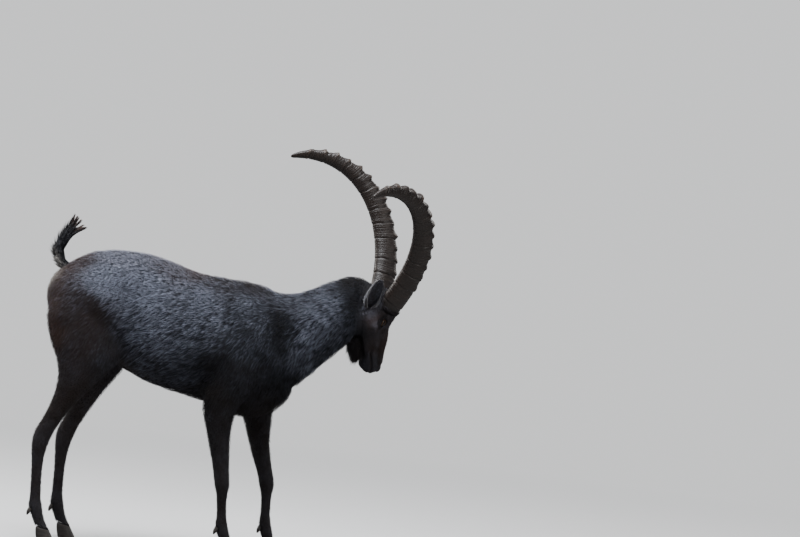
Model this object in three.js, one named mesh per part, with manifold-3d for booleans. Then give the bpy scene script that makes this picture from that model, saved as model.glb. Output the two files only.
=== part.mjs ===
// An adult male alpine ibex, standing with its head lowered and turned a little to its left.
// Millimetres, +Z up, +X towards the way it faces, +Y to its left. The floor is z = 0.
import * as THREE from "three";
import { mergeVertices } from "three/addons/utils/BufferGeometryUtils.js";
import Module from "manifold-3d";

const wasm = await Module();
wasm.setup();

// Driving sizes
const GAP = 0.3;
const HORN_LENGTH = 672;
const HORN_SPLAY = 24.3;
const HORN_LEAN = 62.5;
const HORN_SWEEP = [58.5, 79];
const HORN_ROOT = [-47, 38, 16];
const KNOBS = 14;
const EYE_RADIUS = 16;
const EYE_CENTRE = [-3, 46, -7];
const EAR_LENGTH = 112;
const HEAD_AT = [355.7, 30, 811.2];
const HEAD_PITCH = 88;
const HEAD_YAW = 26.7;
const HEAD_ROLL = 8.2;
const CLAW_TOP = 42;
const DEWCLAW_TOP = 102;
const CORONET_SLOPE = 14;
const TAIL_LOCKS = 15;
const BEARD_LOCKS = 12;

// Colours seen in soft light
const COAT = 0x4a4341;
const COAT_DARK = 0x2b2523;
const COAT_HEAD = 0x3b3330;
const COAT_EAR = 0x6d625a;
const TAIL_BLACK = 0x1d1815;
const HORN_BROWN = 0x4c3a2e;
const HOOF_GREY = 0x2c2725;
const EYE_AMBER = 0x5a3c1c;

const rad = THREE.MathUtils.degToRad;
const lerp = THREE.MathUtils.lerp;
const vec = (x, y, z) => new THREE.Vector3(x, y, z);
const smooth = THREE.MathUtils.smoothstep;

// A repeatable random number between low and high.
let seed = 11;
function chance(low, high) {
  seed = (seed * 16807) % 2147483647;
  return lerp(low, high, seed / 2147483647);
}

// Solids and geometries
function solidOf(geometry) {
  const bare = geometry.clone();
  bare.deleteAttribute("normal");
  bare.deleteAttribute("uv");
  const merged = mergeVertices(bare, 1e-4);
  return new wasm.Manifold(
    new wasm.Mesh({
      numProp: 3,
      vertProperties: new Float32Array(merged.attributes.position.array),
      triVerts: new Uint32Array(merged.index.array),
    }),
  );
}

function geometryOf(solid) {
  const mesh = solid.getMesh();
  const geometry = new THREE.BufferGeometry();
  geometry.setAttribute("position", new THREE.BufferAttribute(mesh.vertProperties, 3));
  geometry.setIndex(new THREE.BufferAttribute(mesh.triVerts, 1));
  geometry.computeVertexNormals();
  return geometry;
}

const joined = (solids) => wasm.Manifold.union(solids);

function largest(solid) {
  const bodies = solid.decompose();
  return bodies.reduce((best, body) => (body.volume() > best.volume() ? body : best));
}

// Swept forms: a ring has a centre, a side and an up direction, and its half sizes
const power = (v, p) => Math.sign(v) * Math.abs(v) ** p;

function ringPoint(ring, across, along) {
  const square = along > 0 ? ring.topSquare : ring.lowSquare;
  const reach = along > 0 ? ring.up : ring.down;
  const y = power(across, 2 / square);
  const z = power(along, 2 / square);
  const narrow = 1 - ring.keel * Math.max(0, -z) ** 1.5;
  return ring.centre
    .clone()
    .addScaledVector(ring.side, ring.half * y * narrow)
    .addScaledVector(ring.upward, reach * z);
}

function swept(rings, around, shape = null) {
  const last = rings.length - 1;
  const geometry = new THREE.CylinderGeometry(1, 1, 1, around, last, false);
  const place = geometry.attributes.position;
  for (let i = 0; i < place.count; i++) {
    const row = Math.round((0.5 - place.getY(i)) * last);
    const across = place.getX(i);
    const along = place.getZ(i);
    const ring = rings[row];
    const point = Math.hypot(across, along) < 0.5 ? ring.centre.clone() : ringPoint(ring, across, along);
    if (shape) shape(point, ring, across, along);
    place.setXYZ(i, point.x, point.y, point.z);
  }
  return geometry;
}

// Rings read from a table of rows: centre x, y, z, half width, up, down, squareness of the top and
// the bottom, keel, and tilt, the angle in degrees of the up direction from +Z towards +X
function tableRings(table, count, grow = 0) {
  const knots = table.map((row, i) => i);
  const track = new THREE.CubicInterpolant(knots, table.flat(), table[0].length);
  return Array.from({ length: count }, (_, i) => {
    const row = track.evaluate((i / (count - 1)) * (table.length - 1));
    const [x, y, z, half, up, down, topSquare, lowSquare, keel, tilt] = row;
    const upward = vec(Math.sin(rad(tilt)), 0, Math.cos(rad(tilt)));
    const centre = vec(x, y, z);
    if (grow && (i === 0 || i === count - 1)) {
      const along = vec(0, 1, 0).cross(upward);
      centre.addScaledVector(along, i ? grow : -grow);
    }
    return {
      centre,
      side: vec(0, 1, 0),
      upward,
      half: half + grow,
      up: up + grow,
      down: down + grow,
      topSquare,
      lowSquare,
      keel,
      tilt,
    };
  });
}

// A soft swelling of a swept form: every point near it moves out from the ring's centre
function swelling(list) {
  return (point, ring) => {
    for (const [x, y, z, reach, by] of list) {
      const left = Math.exp(-point.distanceToSquared(vec(x, y, z)) / reach ** 2);
      const right = Math.exp(-point.distanceToSquared(vec(x, -y, z)) / reach ** 2);
      const out = point.clone().sub(ring.centre);
      if (out.length() > 1) point.addScaledVector(out.normalize(), by * Math.max(left, right));
    }
  };
}

function ball(x, y, z, rx, ry, rz, around = 16, rows = 10) {
  const geometry = new THREE.SphereGeometry(1, around, rows);
  geometry.scale(rx, ry, rz);
  geometry.translate(x, y, z);
  return geometry;
}

// Trunk: x, y, widest height, half width, up, down, squareness above and below, keel, tilt
const TRUNK = [
  [-704, 0, 796, 26, 16, 24, 2, 2, 0, 0],
  [-692, 0, 796, 66, 48, 70, 2, 2, 0, 0],
  [-664, 0, 792, 98, 83, 118, 1.95, 2, 0, 0],
  [-618, 0, 786, 122, 123, 152, 1.9, 2, 0, 0],
  [-560, 0, 780, 133, 158, 172, 1.85, 2, 0, 0],
  [-500, 0, 774, 137, 175, 184, 1.85, 2, 0, 0],
  [-440, 0, 764, 139, 187, 194, 1.85, 2.05, 0.04, 0],
  [-370, 0, 744, 150, 200, 206, 1.85, 2.1, 0.05, 0],
  [-300, 0, 724, 161, 202, 206, 1.85, 2.1, 0.05, 0],
  [-230, 0, 714, 163, 190, 212, 1.8, 2.1, 0.06, 0],
  [-160, 0, 708, 156, 188, 222, 1.75, 2.1, 0.1, 0],
  [-100, 0, 702, 147, 189, 238, 1.7, 2.1, 0.16, 0],
  [-50, 0, 696, 140, 193, 242, 1.7, 2.1, 0.2, 0],
  [0, 0, 686, 131, 194, 230, 1.75, 2.1, 0.22, 0],
  [42, 0, 668, 116, 190, 196, 1.85, 2.1, 0.2, 0],
  [78, 0, 648, 94, 165, 152, 2, 2.1, 0.15, 0],
  [100, 0, 628, 66, 120, 103, 2, 2, 0.1, 0],
  [112, 0, 600, 30, 60, 46, 2, 2, 0, 0],
];
const TRUNK_FORMS = [
  [-110, 74, 846, 60, 9],
  [-40, 120, 700, 100, 9],
  [-585, 110, 905, 60, 7],
  [-470, 120, 880, 55, 8],
  [-430, 130, 700, 60, -9],
];

// Neck: sections set square to its rise
const NECK = [
  [-70, 0, 712, 120, 150, 190, 2, 2, 0.1, -8],
  [20, 0, 716, 116, 158, 172, 1.9, 2, 0.12, -12],
  [80, 0, 716, 104, 155, 154, 1.85, 2, 0.14, -13],
  [124, 2, 737, 92, 138, 141, 1.85, 2, 0.14, -12],
  [170, 1, 769, 83, 128, 129, 1.85, 2.1, 0.14, -11],
  [214, 1, 800, 77, 121, 120, 1.85, 2.1, 0.12, -10],
  [248, 2, 824, 72, 114, 114, 1.9, 2.1, 0.1, -7],
  [279, 5, 840, 64, 104, 106, 1.95, 2.1, 0.08, -4],
  [306, 10, 848, 52, 90, 92, 2, 2, 0, 0],
  [330, 18, 850, 38, 70, 66, 2, 2, 0, 6],
  [345, 25, 848, 20, 36, 30, 2, 2, 0, 10],
];
const NECK_CUT_TOP = vec(34, 0, 872);
const NECK_CUT_FOOT = vec(112, 0, 560);

// Legs: rows go down, so up is towards the front. The last column is how far the leg that steps
// forward is moved
const FORE_LEG = [
  [-92, 84, 800, 34, 52, 52, 2, 2, 0, 90, 12],
  [-72, 92, 740, 44, 78, 80, 2, 2, 0, 90, 24],
  [-58, 97, 670, 48, 94, 104, 2, 2, 0, 90, 46],
  [-66, 99, 600, 47, 94, 106, 2.1, 2.1, 0, 90, 72],
  [-90, 100, 545, 45, 78, 86, 2.1, 2.1, 0, 90, 94],
  [-108, 100, 495, 42, 58, 66, 2.1, 2.1, 0, 90, 110],
  [-112, 98, 445, 38, 49, 52, 2, 2, 0, 90, 119],
  [-107, 94, 395, 34, 40, 42, 2, 2, 0, 90, 122],
  [-99, 91, 350, 30, 34, 36, 2, 2, 0, 90, 124],
  [-92, 89, 305, 26, 29, 30, 2, 2.1, 0, 90, 130],
  [-86, 87, 268, 26, 27, 27, 2.3, 2.3, 0, 90, 136],
  [-82, 87, 240, 26, 27, 26, 2.4, 2.4, 0, 90, 138],
  [-79, 87, 212, 20, 20, 20, 2.2, 2.2, 0, 90, 138],
  [-76, 87, 180, 17, 17, 18, 2.2, 2.2, 0, 90, 137],
  [-72, 88, 135, 17, 17, 18, 2.2, 2.2, 0, 90, 135],
  [-67, 89, 104, 23, 21, 25, 2.3, 2.3, 0, 90, 134],
  [-59, 90, 80, 22, 20, 23, 2.3, 2.3, 0, 90, 133],
  [-49, 91, 58, 22, 19, 22, 2.4, 2.4, 0, 90, 132],
  [-40, 92, 40, 25, 21.5, 26, 2.4, 2.4, 0, 90, 131],
  [-36, 92, 22, 25, 23, 27, 2.4, 2.4, 0, 90, 131],
];
const HIND_LEG = [
  [-570, 50, 850, 34, 50, 50, 2, 2, 0, 90, 0],
  [-576, 64, 812, 50, 88, 92, 2, 2, 0, 90, 0],
  [-578, 74, 760, 58, 120, 114, 2, 2, 0, 90, 4],
  [-572, 82, 700, 59, 132, 121, 2, 2, 0, 90, 10],
  [-562, 90, 645, 56, 128, 118, 2, 2, 0, 90, 20],
  [-556, 95, 596, 50, 108, 99, 2, 2, 0, 90, 32],
  [-564, 97, 548, 42, 80, 78, 2, 2, 0, 90, 42],
  [-585, 97, 500, 36, 57, 58, 2, 2, 0, 90, 50],
  [-610, 95, 450, 30, 42, 44, 2, 2, 0, 90, 56],
  [-634, 94, 400, 25, 32, 38, 2, 2.1, 0, 90, 60],
  [-655, 92, 358, 24, 28, 38, 2.2, 2.2, 0, 90, 62],
  [-668, 91, 325, 25, 28, 33, 2.3, 2.3, 0, 90, 63],
  [-674, 91, 292, 22, 25, 26, 2.2, 2.2, 0, 90, 63],
  [-675, 91, 250, 18, 20, 20, 2.2, 2.2, 0, 90, 62],
  [-673, 91, 190, 17, 19, 19, 2.2, 2.2, 0, 90, 60],
  [-670, 92, 140, 18, 19, 20, 2.2, 2.2, 0, 90, 58],
  [-665, 93, 106, 23, 22, 26, 2.3, 2.3, 0, 90, 57],
  [-656, 94, 80, 22, 20, 23, 2.3, 2.3, 0, 90, 56],
  [-646, 95, 58, 22, 19, 22, 2.4, 2.4, 0, 90, 55],
  [-637, 95, 40, 24, 21.5, 26, 2.4, 2.4, 0, 90, 55],
  [-633, 95, 22, 24, 23, 27, 2.4, 2.4, 0, 90, 55],
];
const FORE_TOP = 462;
const FORE_KNEE = 288;
const FORE_FETLOCK = 122;
const HIND_TOP_FRONT = 560;
const HIND_TOP_SLOPE = 0.62;
const HIND_STIFLE = -450;
const HIND_HOCK = 372;
const HIND_FETLOCK = 124;

function legRings(table, side, steps, count, grow = 0) {
  const rows = table.map((row) => {
    const [x, y, ...rest] = row;
    const step = rest.pop();
    return [x + (steps ? step : 0), y * side, ...rest];
  });
  return tableRings(rows, count, grow);
}

// Keeps what lies on the side of a plane that its normal points to, half a gap clear of the plane
function keep(solid, normal, through, gap = GAP) {
  const unit = normal.clone().normalize();
  return solid.trimByPlane(unit.toArray(), unit.dot(through) + gap / 2);
}

// Head, in its own frame: +X to the nose, +Y left, +Z to the forehead, from between the eyes.
const SKULL = [
  [-108, 0, -8, 28, 20, 28, 2, 2, 0, 0],
  [-98, 0, -10, 44, 38, 46, 2, 2, 0, 0],
  [-80, 0, -12, 54, 53, 62, 2.1, 2, 0.1, 0],
  [-58, 0, -12, 60, 59, 73, 2.2, 2, 0.2, 0],
  [-34, 0, -10, 62, 59, 80, 2.3, 2.1, 0.26, 0],
  [-10, 0, -6, 60, 53, 84, 2.3, 2.1, 0.3, 0],
  [14, 0, -3, 54, 44, 82, 2.3, 2.1, 0.3, 0],
  [38, 0, -3, 47, 38, 72, 2.4, 2.1, 0.3, 0],
  [62, 0, -4, 41, 35, 61, 2.5, 2.1, 0.3, 0],
  [88, 0, -5, 36, 33, 51, 2.5, 2.1, 0.28, 0],
  [112, 0, -6, 33.5, 32, 44, 2.5, 2.2, 0.22, 0],
  [132, 0, -8, 34, 31.5, 39, 2.5, 2.2, 0.18, 0],
  [150, 0, -9, 33.5, 29, 36, 2.4, 2.2, 0.15, 0],
  [163, 0, -10, 29, 22, 31, 2.2, 2.2, 0.1, 0],
  [172, 0, -12, 20, 13, 22, 2, 2, 0, 0],
  [177, 0, -13, 9, 5, 9, 2, 2, 0, 0],
];
const FACE_FORMS = [
  [4, 50, -44, 30, 6],
  [-18, 42, -74, 24, 5],
  [60, 38, -20, 22, -4],
  [70, 36, 10, 18, 2],
  [148, 30, -16, 18, 3],
  [132, 12, -44, 16, 4],
  [-24, 18, 50, 30, 5],
  [-80, 40, 14, 22, 5],
  [-14, 40, 28, 24, 6],
  [70, 12, 34, 26, 3],
  [-4, 50, -34, 24, -4],
];
const EAR_PAD = [-49, 38, -54];
const EAR_PAD_SIZE = [19, 16, 19];
const MOUTH = [
  [186, -23],
  [160, -22],
  [130, -25],
  [106, -28],
  [94, -24],
];
const MOUTH_OPEN = 1.5;
const LIP_DEPTH = 5;

function skullForm(grow) {
  return swept(tableRings(SKULL, 22, grow), 20, swelling(FACE_FORMS));
}

// The line between the lips, a thin curved plate less the head's own core
function mouthLine() {
  const upper = new THREE.SplineCurve(MOUTH.map(([x, z]) => new THREE.Vector2(x, z + MOUTH_OPEN / 2)));
  const lower = new THREE.SplineCurve(MOUTH.map(([x, z]) => new THREE.Vector2(x, z - MOUTH_OPEN / 2)));
  const outline = new THREE.Shape([...upper.getPoints(5), ...lower.getPoints(5).reverse()]);
  const plate = new THREE.ExtrudeGeometry(outline, { depth: 120, bevelEnabled: false });
  plate.rotateX(Math.PI / 2);
  plate.translate(0, 60, 0);
  const core = swept(tableRings(SKULL, 14, -LIP_DEPTH), 10);
  return solidOf(plate).subtract(solidOf(core));
}

// A form turned so that its own +X points along a direction, and moved to a place.
function aimed(geometry, direction, place, roll = 0) {
  geometry.rotateX(roll);
  const turn = new THREE.Quaternion().setFromUnitVectors(vec(1, 0, 0), direction.clone().normalize());
  geometry.applyQuaternion(turn);
  geometry.translate(place.x, place.y, place.z);
  return geometry;
}

function browPad(side, grow) {
  const [x, y, z] = EYE_CENTRE;
  return solidOf(ball(x - 2, (y - 10) * side, z + 9, 29 + grow, 26 + grow, 29 + grow, 12, 8));
}

function headSolid() {
  const parts = [solidOf(skullForm(0))];
  for (const side of [-1, 1]) {
    const [x, y, z] = EYE_CENTRE;
    parts.push(browPad(side, 0));
    parts.push(solidOf(ball(x, y * side, z, EYE_RADIUS + 3.4, EYE_RADIUS + 3.4, EYE_RADIUS + 3.2, 16, 10)));
    parts.push(solidOf(ball(151, 21 * side, -13, 21, 13, 11, 12, 7)));
    parts.push(solidOf(ball(157, 12 * side, 6, 17, 12, 12, 12, 7)));
    parts.push(solidOf(ball(...EAR_PAD.map((v, i) => (i === 1 ? v * side : v)), ...EAR_PAD_SIZE, 12, 7)));
  }
  parts.push(solidOf(ball(143, 0, -38, 22, 19, 14, 12, 7)));
  let head = joined(parts);
  for (const side of [-1, 1]) {
    const [x, y, z] = EYE_CENTRE;
    const look = vec(0.22, side, 0.12);
    const socket = EYE_RADIUS + GAP;
    head = head.subtract(solidOf(ball(x, y * side, z, socket, socket, socket, 12, 8)));
    const slit = new THREE.CylinderGeometry(1, 1, 60, 14, 1);
    slit.rotateZ(-Math.PI / 2);
    slit.translate(30, 0, 0);
    slit.scale(1, 14.5, 9);
    head = head.subtract(solidOf(aimed(slit, look, vec(x, y * side, z), rad(12 * side))));
    const nostril = aimed(ball(0, 0, 0, 9.5, 2.6, 4.6, 12, 8), vec(0.8, -0.75 * side, -0.5), vec(166, 15.5 * side, 4));
    head = head.subtract(solidOf(nostril));
  }
  return largest(head.subtract(mouthLine()));
}

const headPlace = new THREE.Matrix4().makeRotationFromEuler(
  new THREE.Euler(rad(HEAD_ROLL), rad(HEAD_PITCH), rad(HEAD_YAW), "XZY"),
);
headPlace.setPosition(...HEAD_AT);

// Horns: depth is from the knobbed front to the back
const HORN_SIZES = [
  [0, 37, 31],
  [0.06, 37, 31],
  [0.2, 36, 29],
  [0.35, 34.5, 27],
  [0.5, 31.5, 24.5],
  [0.65, 27, 21],
  [0.78, 22, 17],
  [0.88, 17, 13],
  [0.95, 11.5, 9],
  [0.99, 6.5, 5],
  [1, 3, 2.5],
];
const KNOB_FIRST = 0.15;
const KNOB_PITCH = 0.0575;
const KNOB_STEPS = [
  [-0.022, 0],
  [-0.006, 1],
  [0.011, 0.75],
];

// Where the horn's middle line is at a share of its length, with its direction and front
const HORN_STEPS = 120;
const hornLine = [];
{
  const at = vec(...HORN_ROOT);
  for (let i = 0; i <= HORN_STEPS; i++) {
    const share = i / HORN_STEPS;
    const lean = rad(HORN_LEAN + HORN_SWEEP[0] * share + HORN_SWEEP[1] * share * share);
    const splay = rad(HORN_SPLAY);
    const along = vec(-Math.sin(lean) * Math.cos(splay), Math.sin(splay), Math.cos(lean) * Math.cos(splay));
    const front = vec(Math.cos(lean), 0, Math.sin(lean));
    hornLine.push({ at: at.clone(), along, front });
    at.addScaledVector(along, HORN_LENGTH / HORN_STEPS);
  }
}

function hornRing(share, knob, side, grow) {
  const { at, along, front } = hornLine[Math.round(share * HORN_STEPS)];
  const knots = HORN_SIZES.map((row) => row[0]);
  const track = new THREE.LinearInterpolant(
    knots,
    HORN_SIZES.flatMap((row) => row.slice(1)),
    2,
  );
  const [depth, width] = track.evaluate(share);
  const size = lerp(3.5, 8, smooth(share, 0.1, 0.5)) * lerp(1, 0.55, smooth(share, 0.65, 0.95));
  const flip = vec(1, side, 1);
  const upward = front.clone().multiply(flip);
  const forward = along.clone().multiply(flip);
  return {
    centre: at.clone().multiply(flip),
    side: upward.clone().cross(forward),
    upward,
    half: width * (1 + 0.05 * knob) + grow,
    up: depth + knob * size + grow,
    down: depth + grow,
    topSquare: 2.9,
    lowSquare: 2.2,
    keel: 0.25,
  };
}

function hornForm(side, grow = 0) {
  const rings = [0, 0.06, 0.115].map((share) => hornRing(share, 0, side, grow));
  for (let k = 0; k < KNOBS; k++)
    for (const [step, rise] of KNOB_STEPS) {
      const uneven = 1 + 0.16 * Math.sin(k * 2.3 + side);
      rings.push(hornRing(KNOB_FIRST + k * KNOB_PITCH + step, rise * uneven, side, grow));
    }
  for (const share of [0.965, 0.985, 1]) rings.push(hornRing(share, 0, side, grow));
  return swept(rings, 12);
}

// Ears: a leaf that narrows to root and tip, less a smaller leaf set towards its open face
const EAR_SIZES = [
  [0, 12, 11],
  [0.12, 15, 13],
  [0.3, 19.5, 14],
  [0.5, 21.5, 13],
  [0.7, 19, 10],
  [0.87, 12.5, 7],
  [0.97, 6, 3.5],
  [1, 2, 1.5],
];
const EAR_ROOT = [-53, 46, -58];
const RIGHT_EAR_ALONG = [-0.84, 0.53, 0.11];
const LEFT_EAR_ALONG = [-0.32, 0.94, -0.1];
const EAR_OPEN = [0.42, 0.8, -0.26];
const EAR_WALL = 3.2;

function earLeaf(side, shrink, lift, from) {
  const along = vec(...(side > 0 ? LEFT_EAR_ALONG : RIGHT_EAR_ALONG)).normalize();
  const open = vec(...EAR_OPEN);
  open.addScaledVector(along, -open.dot(along)).normalize();
  const flip = vec(1, side, 1);
  along.multiply(flip);
  open.multiply(flip);
  const start = vec(...EAR_ROOT).multiply(flip);
  const rings = EAR_SIZES.filter(([share]) => share >= from).map(([share, wide, deep]) => ({
    centre: start
      .clone()
      .addScaledVector(along, share * EAR_LENGTH - (share === 1 ? shrink : 0))
      .addScaledVector(open, lift - 9 * share * share),
    side: open.clone().cross(along),
    upward: open,
    half: Math.max(0.8, wide - shrink),
    up: Math.max(0.8, deep * 0.8 - shrink * 0.5),
    down: Math.max(0.8, deep - shrink),
    topSquare: 2,
    lowSquare: 2,
    keel: 0.1,
  }));
  return solidOf(swept(rings, 14));
}

function earSolid(side) {
  return largest(earLeaf(side, 0, 0, 0).subtract(earLeaf(side, EAR_WALL, 5.5, 0.12)));
}

// Locks: flat, tapered and bent
function lock(root, along, flat, length, width, thick, bend) {
  const across = flat.clone().cross(along).normalize();
  const rings = [0, 0.4, 0.75, 1].map((share) => {
    const centre = root.clone().addScaledVector(along, share * length);
    centre.addScaledVector(bend, share * share * length);
    const taper = [0.8, 1, 0.66, 0.1][Math.round(share * 3)];
    return {
      centre,
      side: across,
      upward: flat,
      half: (width / 2) * taper,
      up: (thick / 2) * taper,
      down: (thick / 2) * taper,
      topSquare: 2,
      lowSquare: 2,
      keel: 0,
    };
  });
  const facing = rings[0].side.clone().cross(rings[0].upward).dot(along);
  if (facing < 0) for (const ring of rings) ring.side = across.clone().negate();
  return swept(rings, 5);
}

// Tail: a short thick core with locks that lie along it and fan at the tip
const TAIL = [
  vec(-632, 0, 862),
  vec(-662, 0, 884),
  vec(-679, 0, 916),
  vec(-672, 0, 950),
  vec(-655, 0, 982),
  vec(-644, 0, 1000),
];
const TAIL_HALF = [19, 22, 22, 18, 13, 4];
// The tips of the tuft's three points, and the lock that stands off its back
const TAIL_TIPS = [vec(-636, 0, 1045), vec(-622, 0, 1034), vec(-600, 0, 1011)];
const TAIL_SPUR = [vec(-676, 0, 916), vec(-699, 0, 950)];

function tailSolid() {
  const curve = new THREE.CatmullRomCurve3(TAIL);
  const count = 11;
  const frameAt = (share) => {
    const along = curve.getTangent(share);
    return { at: curve.getPoint(share), along, upward: vec(0, 1, 0).cross(along).negate() };
  };
  const rings = Array.from({ length: count }, (_, i) => {
    const share = i / (count - 1);
    const { at, upward } = frameAt(share);
    const track = new THREE.LinearInterpolant([0, 0.2, 0.4, 0.6, 0.8, 1], TAIL_HALF, 1);
    const half = track.evaluate(share)[0];
    return {
      centre: at,
      side: vec(0, 1, 0),
      upward,
      half: half * 1.05,
      up: half * 0.8,
      down: half * 0.8,
      topSquare: 2,
      lowSquare: 2,
      keel: 0,
    };
  });
  const parts = [solidOf(swept(rings, 12))];
  for (let i = 0; i < TAIL_LOCKS; i++) {
    const share = lerp(0.3, 0.97, (i + 0.5) / TAIL_LOCKS);
    const angle = i * 2.4 + 0.4;
    const { at, along, upward } = frameAt(share);
    const out = vec(0, Math.cos(angle), 0).addScaledVector(upward, Math.sin(angle));
    const half = lerp(19, 5, share);
    const root = at.clone().addScaledVector(out, half * 0.35);
    let lie = along.clone().addScaledVector(out, lerp(0.32, 0.14, share)).normalize();
    let length = lerp(46, 60, share) * chance(0.85, 1.1);
    if (share > 0.6) {
      lie = TAIL_TIPS[i % 3].clone().sub(root);
      lie.y += out.y * 12;
      length = lie.length() * chance(0.9, 1.02);
      lie.normalize();
    }
    const flat = out.clone().addScaledVector(lie, -out.dot(lie)).normalize();
    parts.push(solidOf(lock(root, lie, flat, length, lerp(18, 15, share), 7, out.clone().multiplyScalar(-0.1))));
  }
  for (const aside of [-7, 7]) {
    const root = TAIL_SPUR[0].clone().setY(aside);
    const lie = TAIL_SPUR[1].clone().sub(root);
    parts.push(solidOf(lock(root, lie.clone().normalize(), vec(0, 1, 0), lie.length(), 20, 9, vec(0, 0, 0))));
  }
  return joined(parts);
}

// Beard, in the head's frame: it hangs from under the chin and jaw, and the head hangs down, so
// its locks bend towards the nose
function beardSolid() {
  const parts = [solidOf(ball(92, 0, -69, 38, 17, 31, 12, 8))];
  for (let i = 0; i < BEARD_LOCKS; i++) {
    const row = i % 5;
    const share = (i + 0.5) / BEARD_LOCKS;
    const x = lerp(58, 110, share);
    const y = (row - 2) * 5.6 + chance(-1, 1);
    const along = vec(lerp(0.3, 0.95, share), y * 0.02, -1).normalize();
    const flat = vec(0.5, (row - 2) * 0.7 + chance(-0.2, 0.2), 0.2);
    flat.addScaledVector(along, -flat.dot(along)).normalize();
    const length = lerp(45, 42, share) * chance(0.9, 1.08);
    const root = vec(x, y, lerp(-66, -50, share));
    parts.push(solidOf(lock(root, along, flat, length, 15, 8, vec(0.4, 0, 0.06))));
  }
  return joined(parts);
}

// Hooves: two claws to a foot and two dewclaws behind it. Rows are lower as they go
const CLAW = [
  [-2, 50, 10.5, 17, 19],
  [0, 38, 12, 20, 22],
  [4, 22, 13, 25, 24],
  [8, 6, 13.5, 30, 24],
  [9, 0, 13, 31, 23],
];

function clawSolid(x, y, side, splay) {
  const rings = CLAW.map(([forward, z, half, up, down]) => ({
    centre: vec(x + forward, y + side * (13.5 + splay * (50 - z) * 0.02), z),
    side: vec(0, 1, 0),
    upward: vec(1, 0, 0),
    half: half - 0.6,
    up,
    down,
    topSquare: 1.8,
    lowSquare: 2.6,
    keel: 0.1,
  }));
  return solidOf(swept(rings, 12));
}

function dewclawSolid(x, y, z, side, grow) {
  const down = vec(-0.38, 0.25 * side, -0.9).normalize();
  const back = vec(-0.86, 0, 0.45);
  const rings = [0, 0.55, 1].map((share) => ({
    centre: vec(x, y + side * 11, z).addScaledVector(down, share * (24 + 2 * grow) - grow),
    side: back.clone().cross(down).negate(),
    upward: back,
    half: [8, 8.5, 3.5][Math.round(share * 2)] + grow,
    up: [8, 8, 3][Math.round(share * 2)] + grow,
    down: [8, 6, 3][Math.round(share * 2)] + grow,
    topSquare: 2,
    lowSquare: 2,
    keel: 0,
  }));
  const facing = rings[0].side.clone().cross(back).dot(down);
  if (facing < 0) for (const ring of rings) ring.side.negate();
  return solidOf(swept(rings, 6));
}

// Assembly
const model = new THREE.Group();

function addMesh(name, solid, colour, roughness = 0.85, parent = model) {
  const material = new THREE.MeshStandardMaterial({ color: colour, roughness, metalness: 0 });
  const mesh = new THREE.Mesh(geometryOf(solid), material);
  mesh.name = name;
  parent.add(mesh);
}

const trunkForm = (grow) => solidOf(swept(tableRings(TRUNK, 30, grow), 24, swelling(TRUNK_FORMS)));
const trunk = trunkForm(0);
const trunkGrown = trunkForm(GAP);
const neckForm = solidOf(swept(tableRings(NECK, 13), 20));
const neckGrown = solidOf(swept(tableRings(NECK, 13, GAP), 20));

const LEGS = [
  { name: "fore_right", fore: true, side: -1, steps: false },
  { name: "fore_left", fore: true, side: 1, steps: true },
  { name: "hind_right", fore: false, side: -1, steps: false },
  { name: "hind_left", fore: false, side: 1, steps: true },
];
const UP = vec(0, 0, 1);
const DOWN = vec(0, 0, -1);
const HIND_CUT = vec(HIND_TOP_SLOPE, 0, 1);
const hindCutThrough = vec(HIND_STIFLE, 0, HIND_TOP_FRONT);

const torsoParts = [trunk, neckForm];
for (const leg of LEGS) {
  const table = leg.fore ? FORE_LEG : HIND_LEG;
  const form = solidOf(swept(legRings(table, leg.side, leg.steps, leg.fore ? 23 : 25), 12));
  const topNormal = leg.fore ? UP : HIND_CUT;
  const topThrough = leg.fore ? vec(0, 0, FORE_TOP) : hindCutThrough;
  torsoParts.push(keep(form, topNormal, topThrough, GAP));
  const below = keep(form, topNormal.clone().negate(), topThrough).subtract(trunkGrown);
  const mid = leg.fore ? FORE_KNEE : HIND_HOCK;
  const low = leg.fore ? FORE_FETLOCK : HIND_FETLOCK;
  const foot = table[table.length - 2];
  const footX = foot[0] + (leg.steps ? foot[foot.length - 1] : 0);
  const footY = foot[1] * leg.side;
  const coronet = vec(rad(CORONET_SLOPE), 0, 1);
  const coronetAt = vec(footX, 0, CLAW_TOP);

  const upper = keep(below, UP, vec(0, 0, mid));
  const cannon = keep(keep(below, DOWN, vec(0, 0, mid)), UP, vec(0, 0, low));
  let pastern = keep(keep(below, DOWN, vec(0, 0, low)), coronet, coronetAt);

  const fetlock = table[table.length - 5];
  const fetlockX = fetlock[0] + (leg.steps ? fetlock[fetlock.length - 1] : 0) - 16;
  for (const side of [-1, 1]) {
    const place = side > 0 ? "left" : "right";
    const claw = keep(clawSolid(footX, footY, side, 3), coronet.clone().negate(), coronetAt);
    addMesh(leg.name + "_claw_" + place, claw, HOOF_GREY, 0.5);
    const dewclaw = dewclawSolid(fetlockX, footY, DEWCLAW_TOP, side, 0);
    pastern = pastern.subtract(dewclawSolid(fetlockX, footY, DEWCLAW_TOP, side, GAP));
    addMesh(leg.name + "_dewclaw_" + place, dewclaw, HOOF_GREY, 0.5);
  }
  addMesh(leg.name + (leg.fore ? "_forearm" : "_thigh"), largest(upper), COAT_DARK);
  addMesh(leg.name + "_cannon", largest(cannon), COAT_DARK);
  addMesh(leg.name + "_pastern", largest(pastern), COAT_DARK);
}

const neckRise = NECK_CUT_TOP.clone().sub(NECK_CUT_FOOT);
const neckNormal = vec(neckRise.z, 0, -neckRise.x);
const body = joined(torsoParts);
const torso = largest(keep(body, neckNormal.clone().negate(), NECK_CUT_TOP));
addMesh("torso", torso, COAT);

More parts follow.
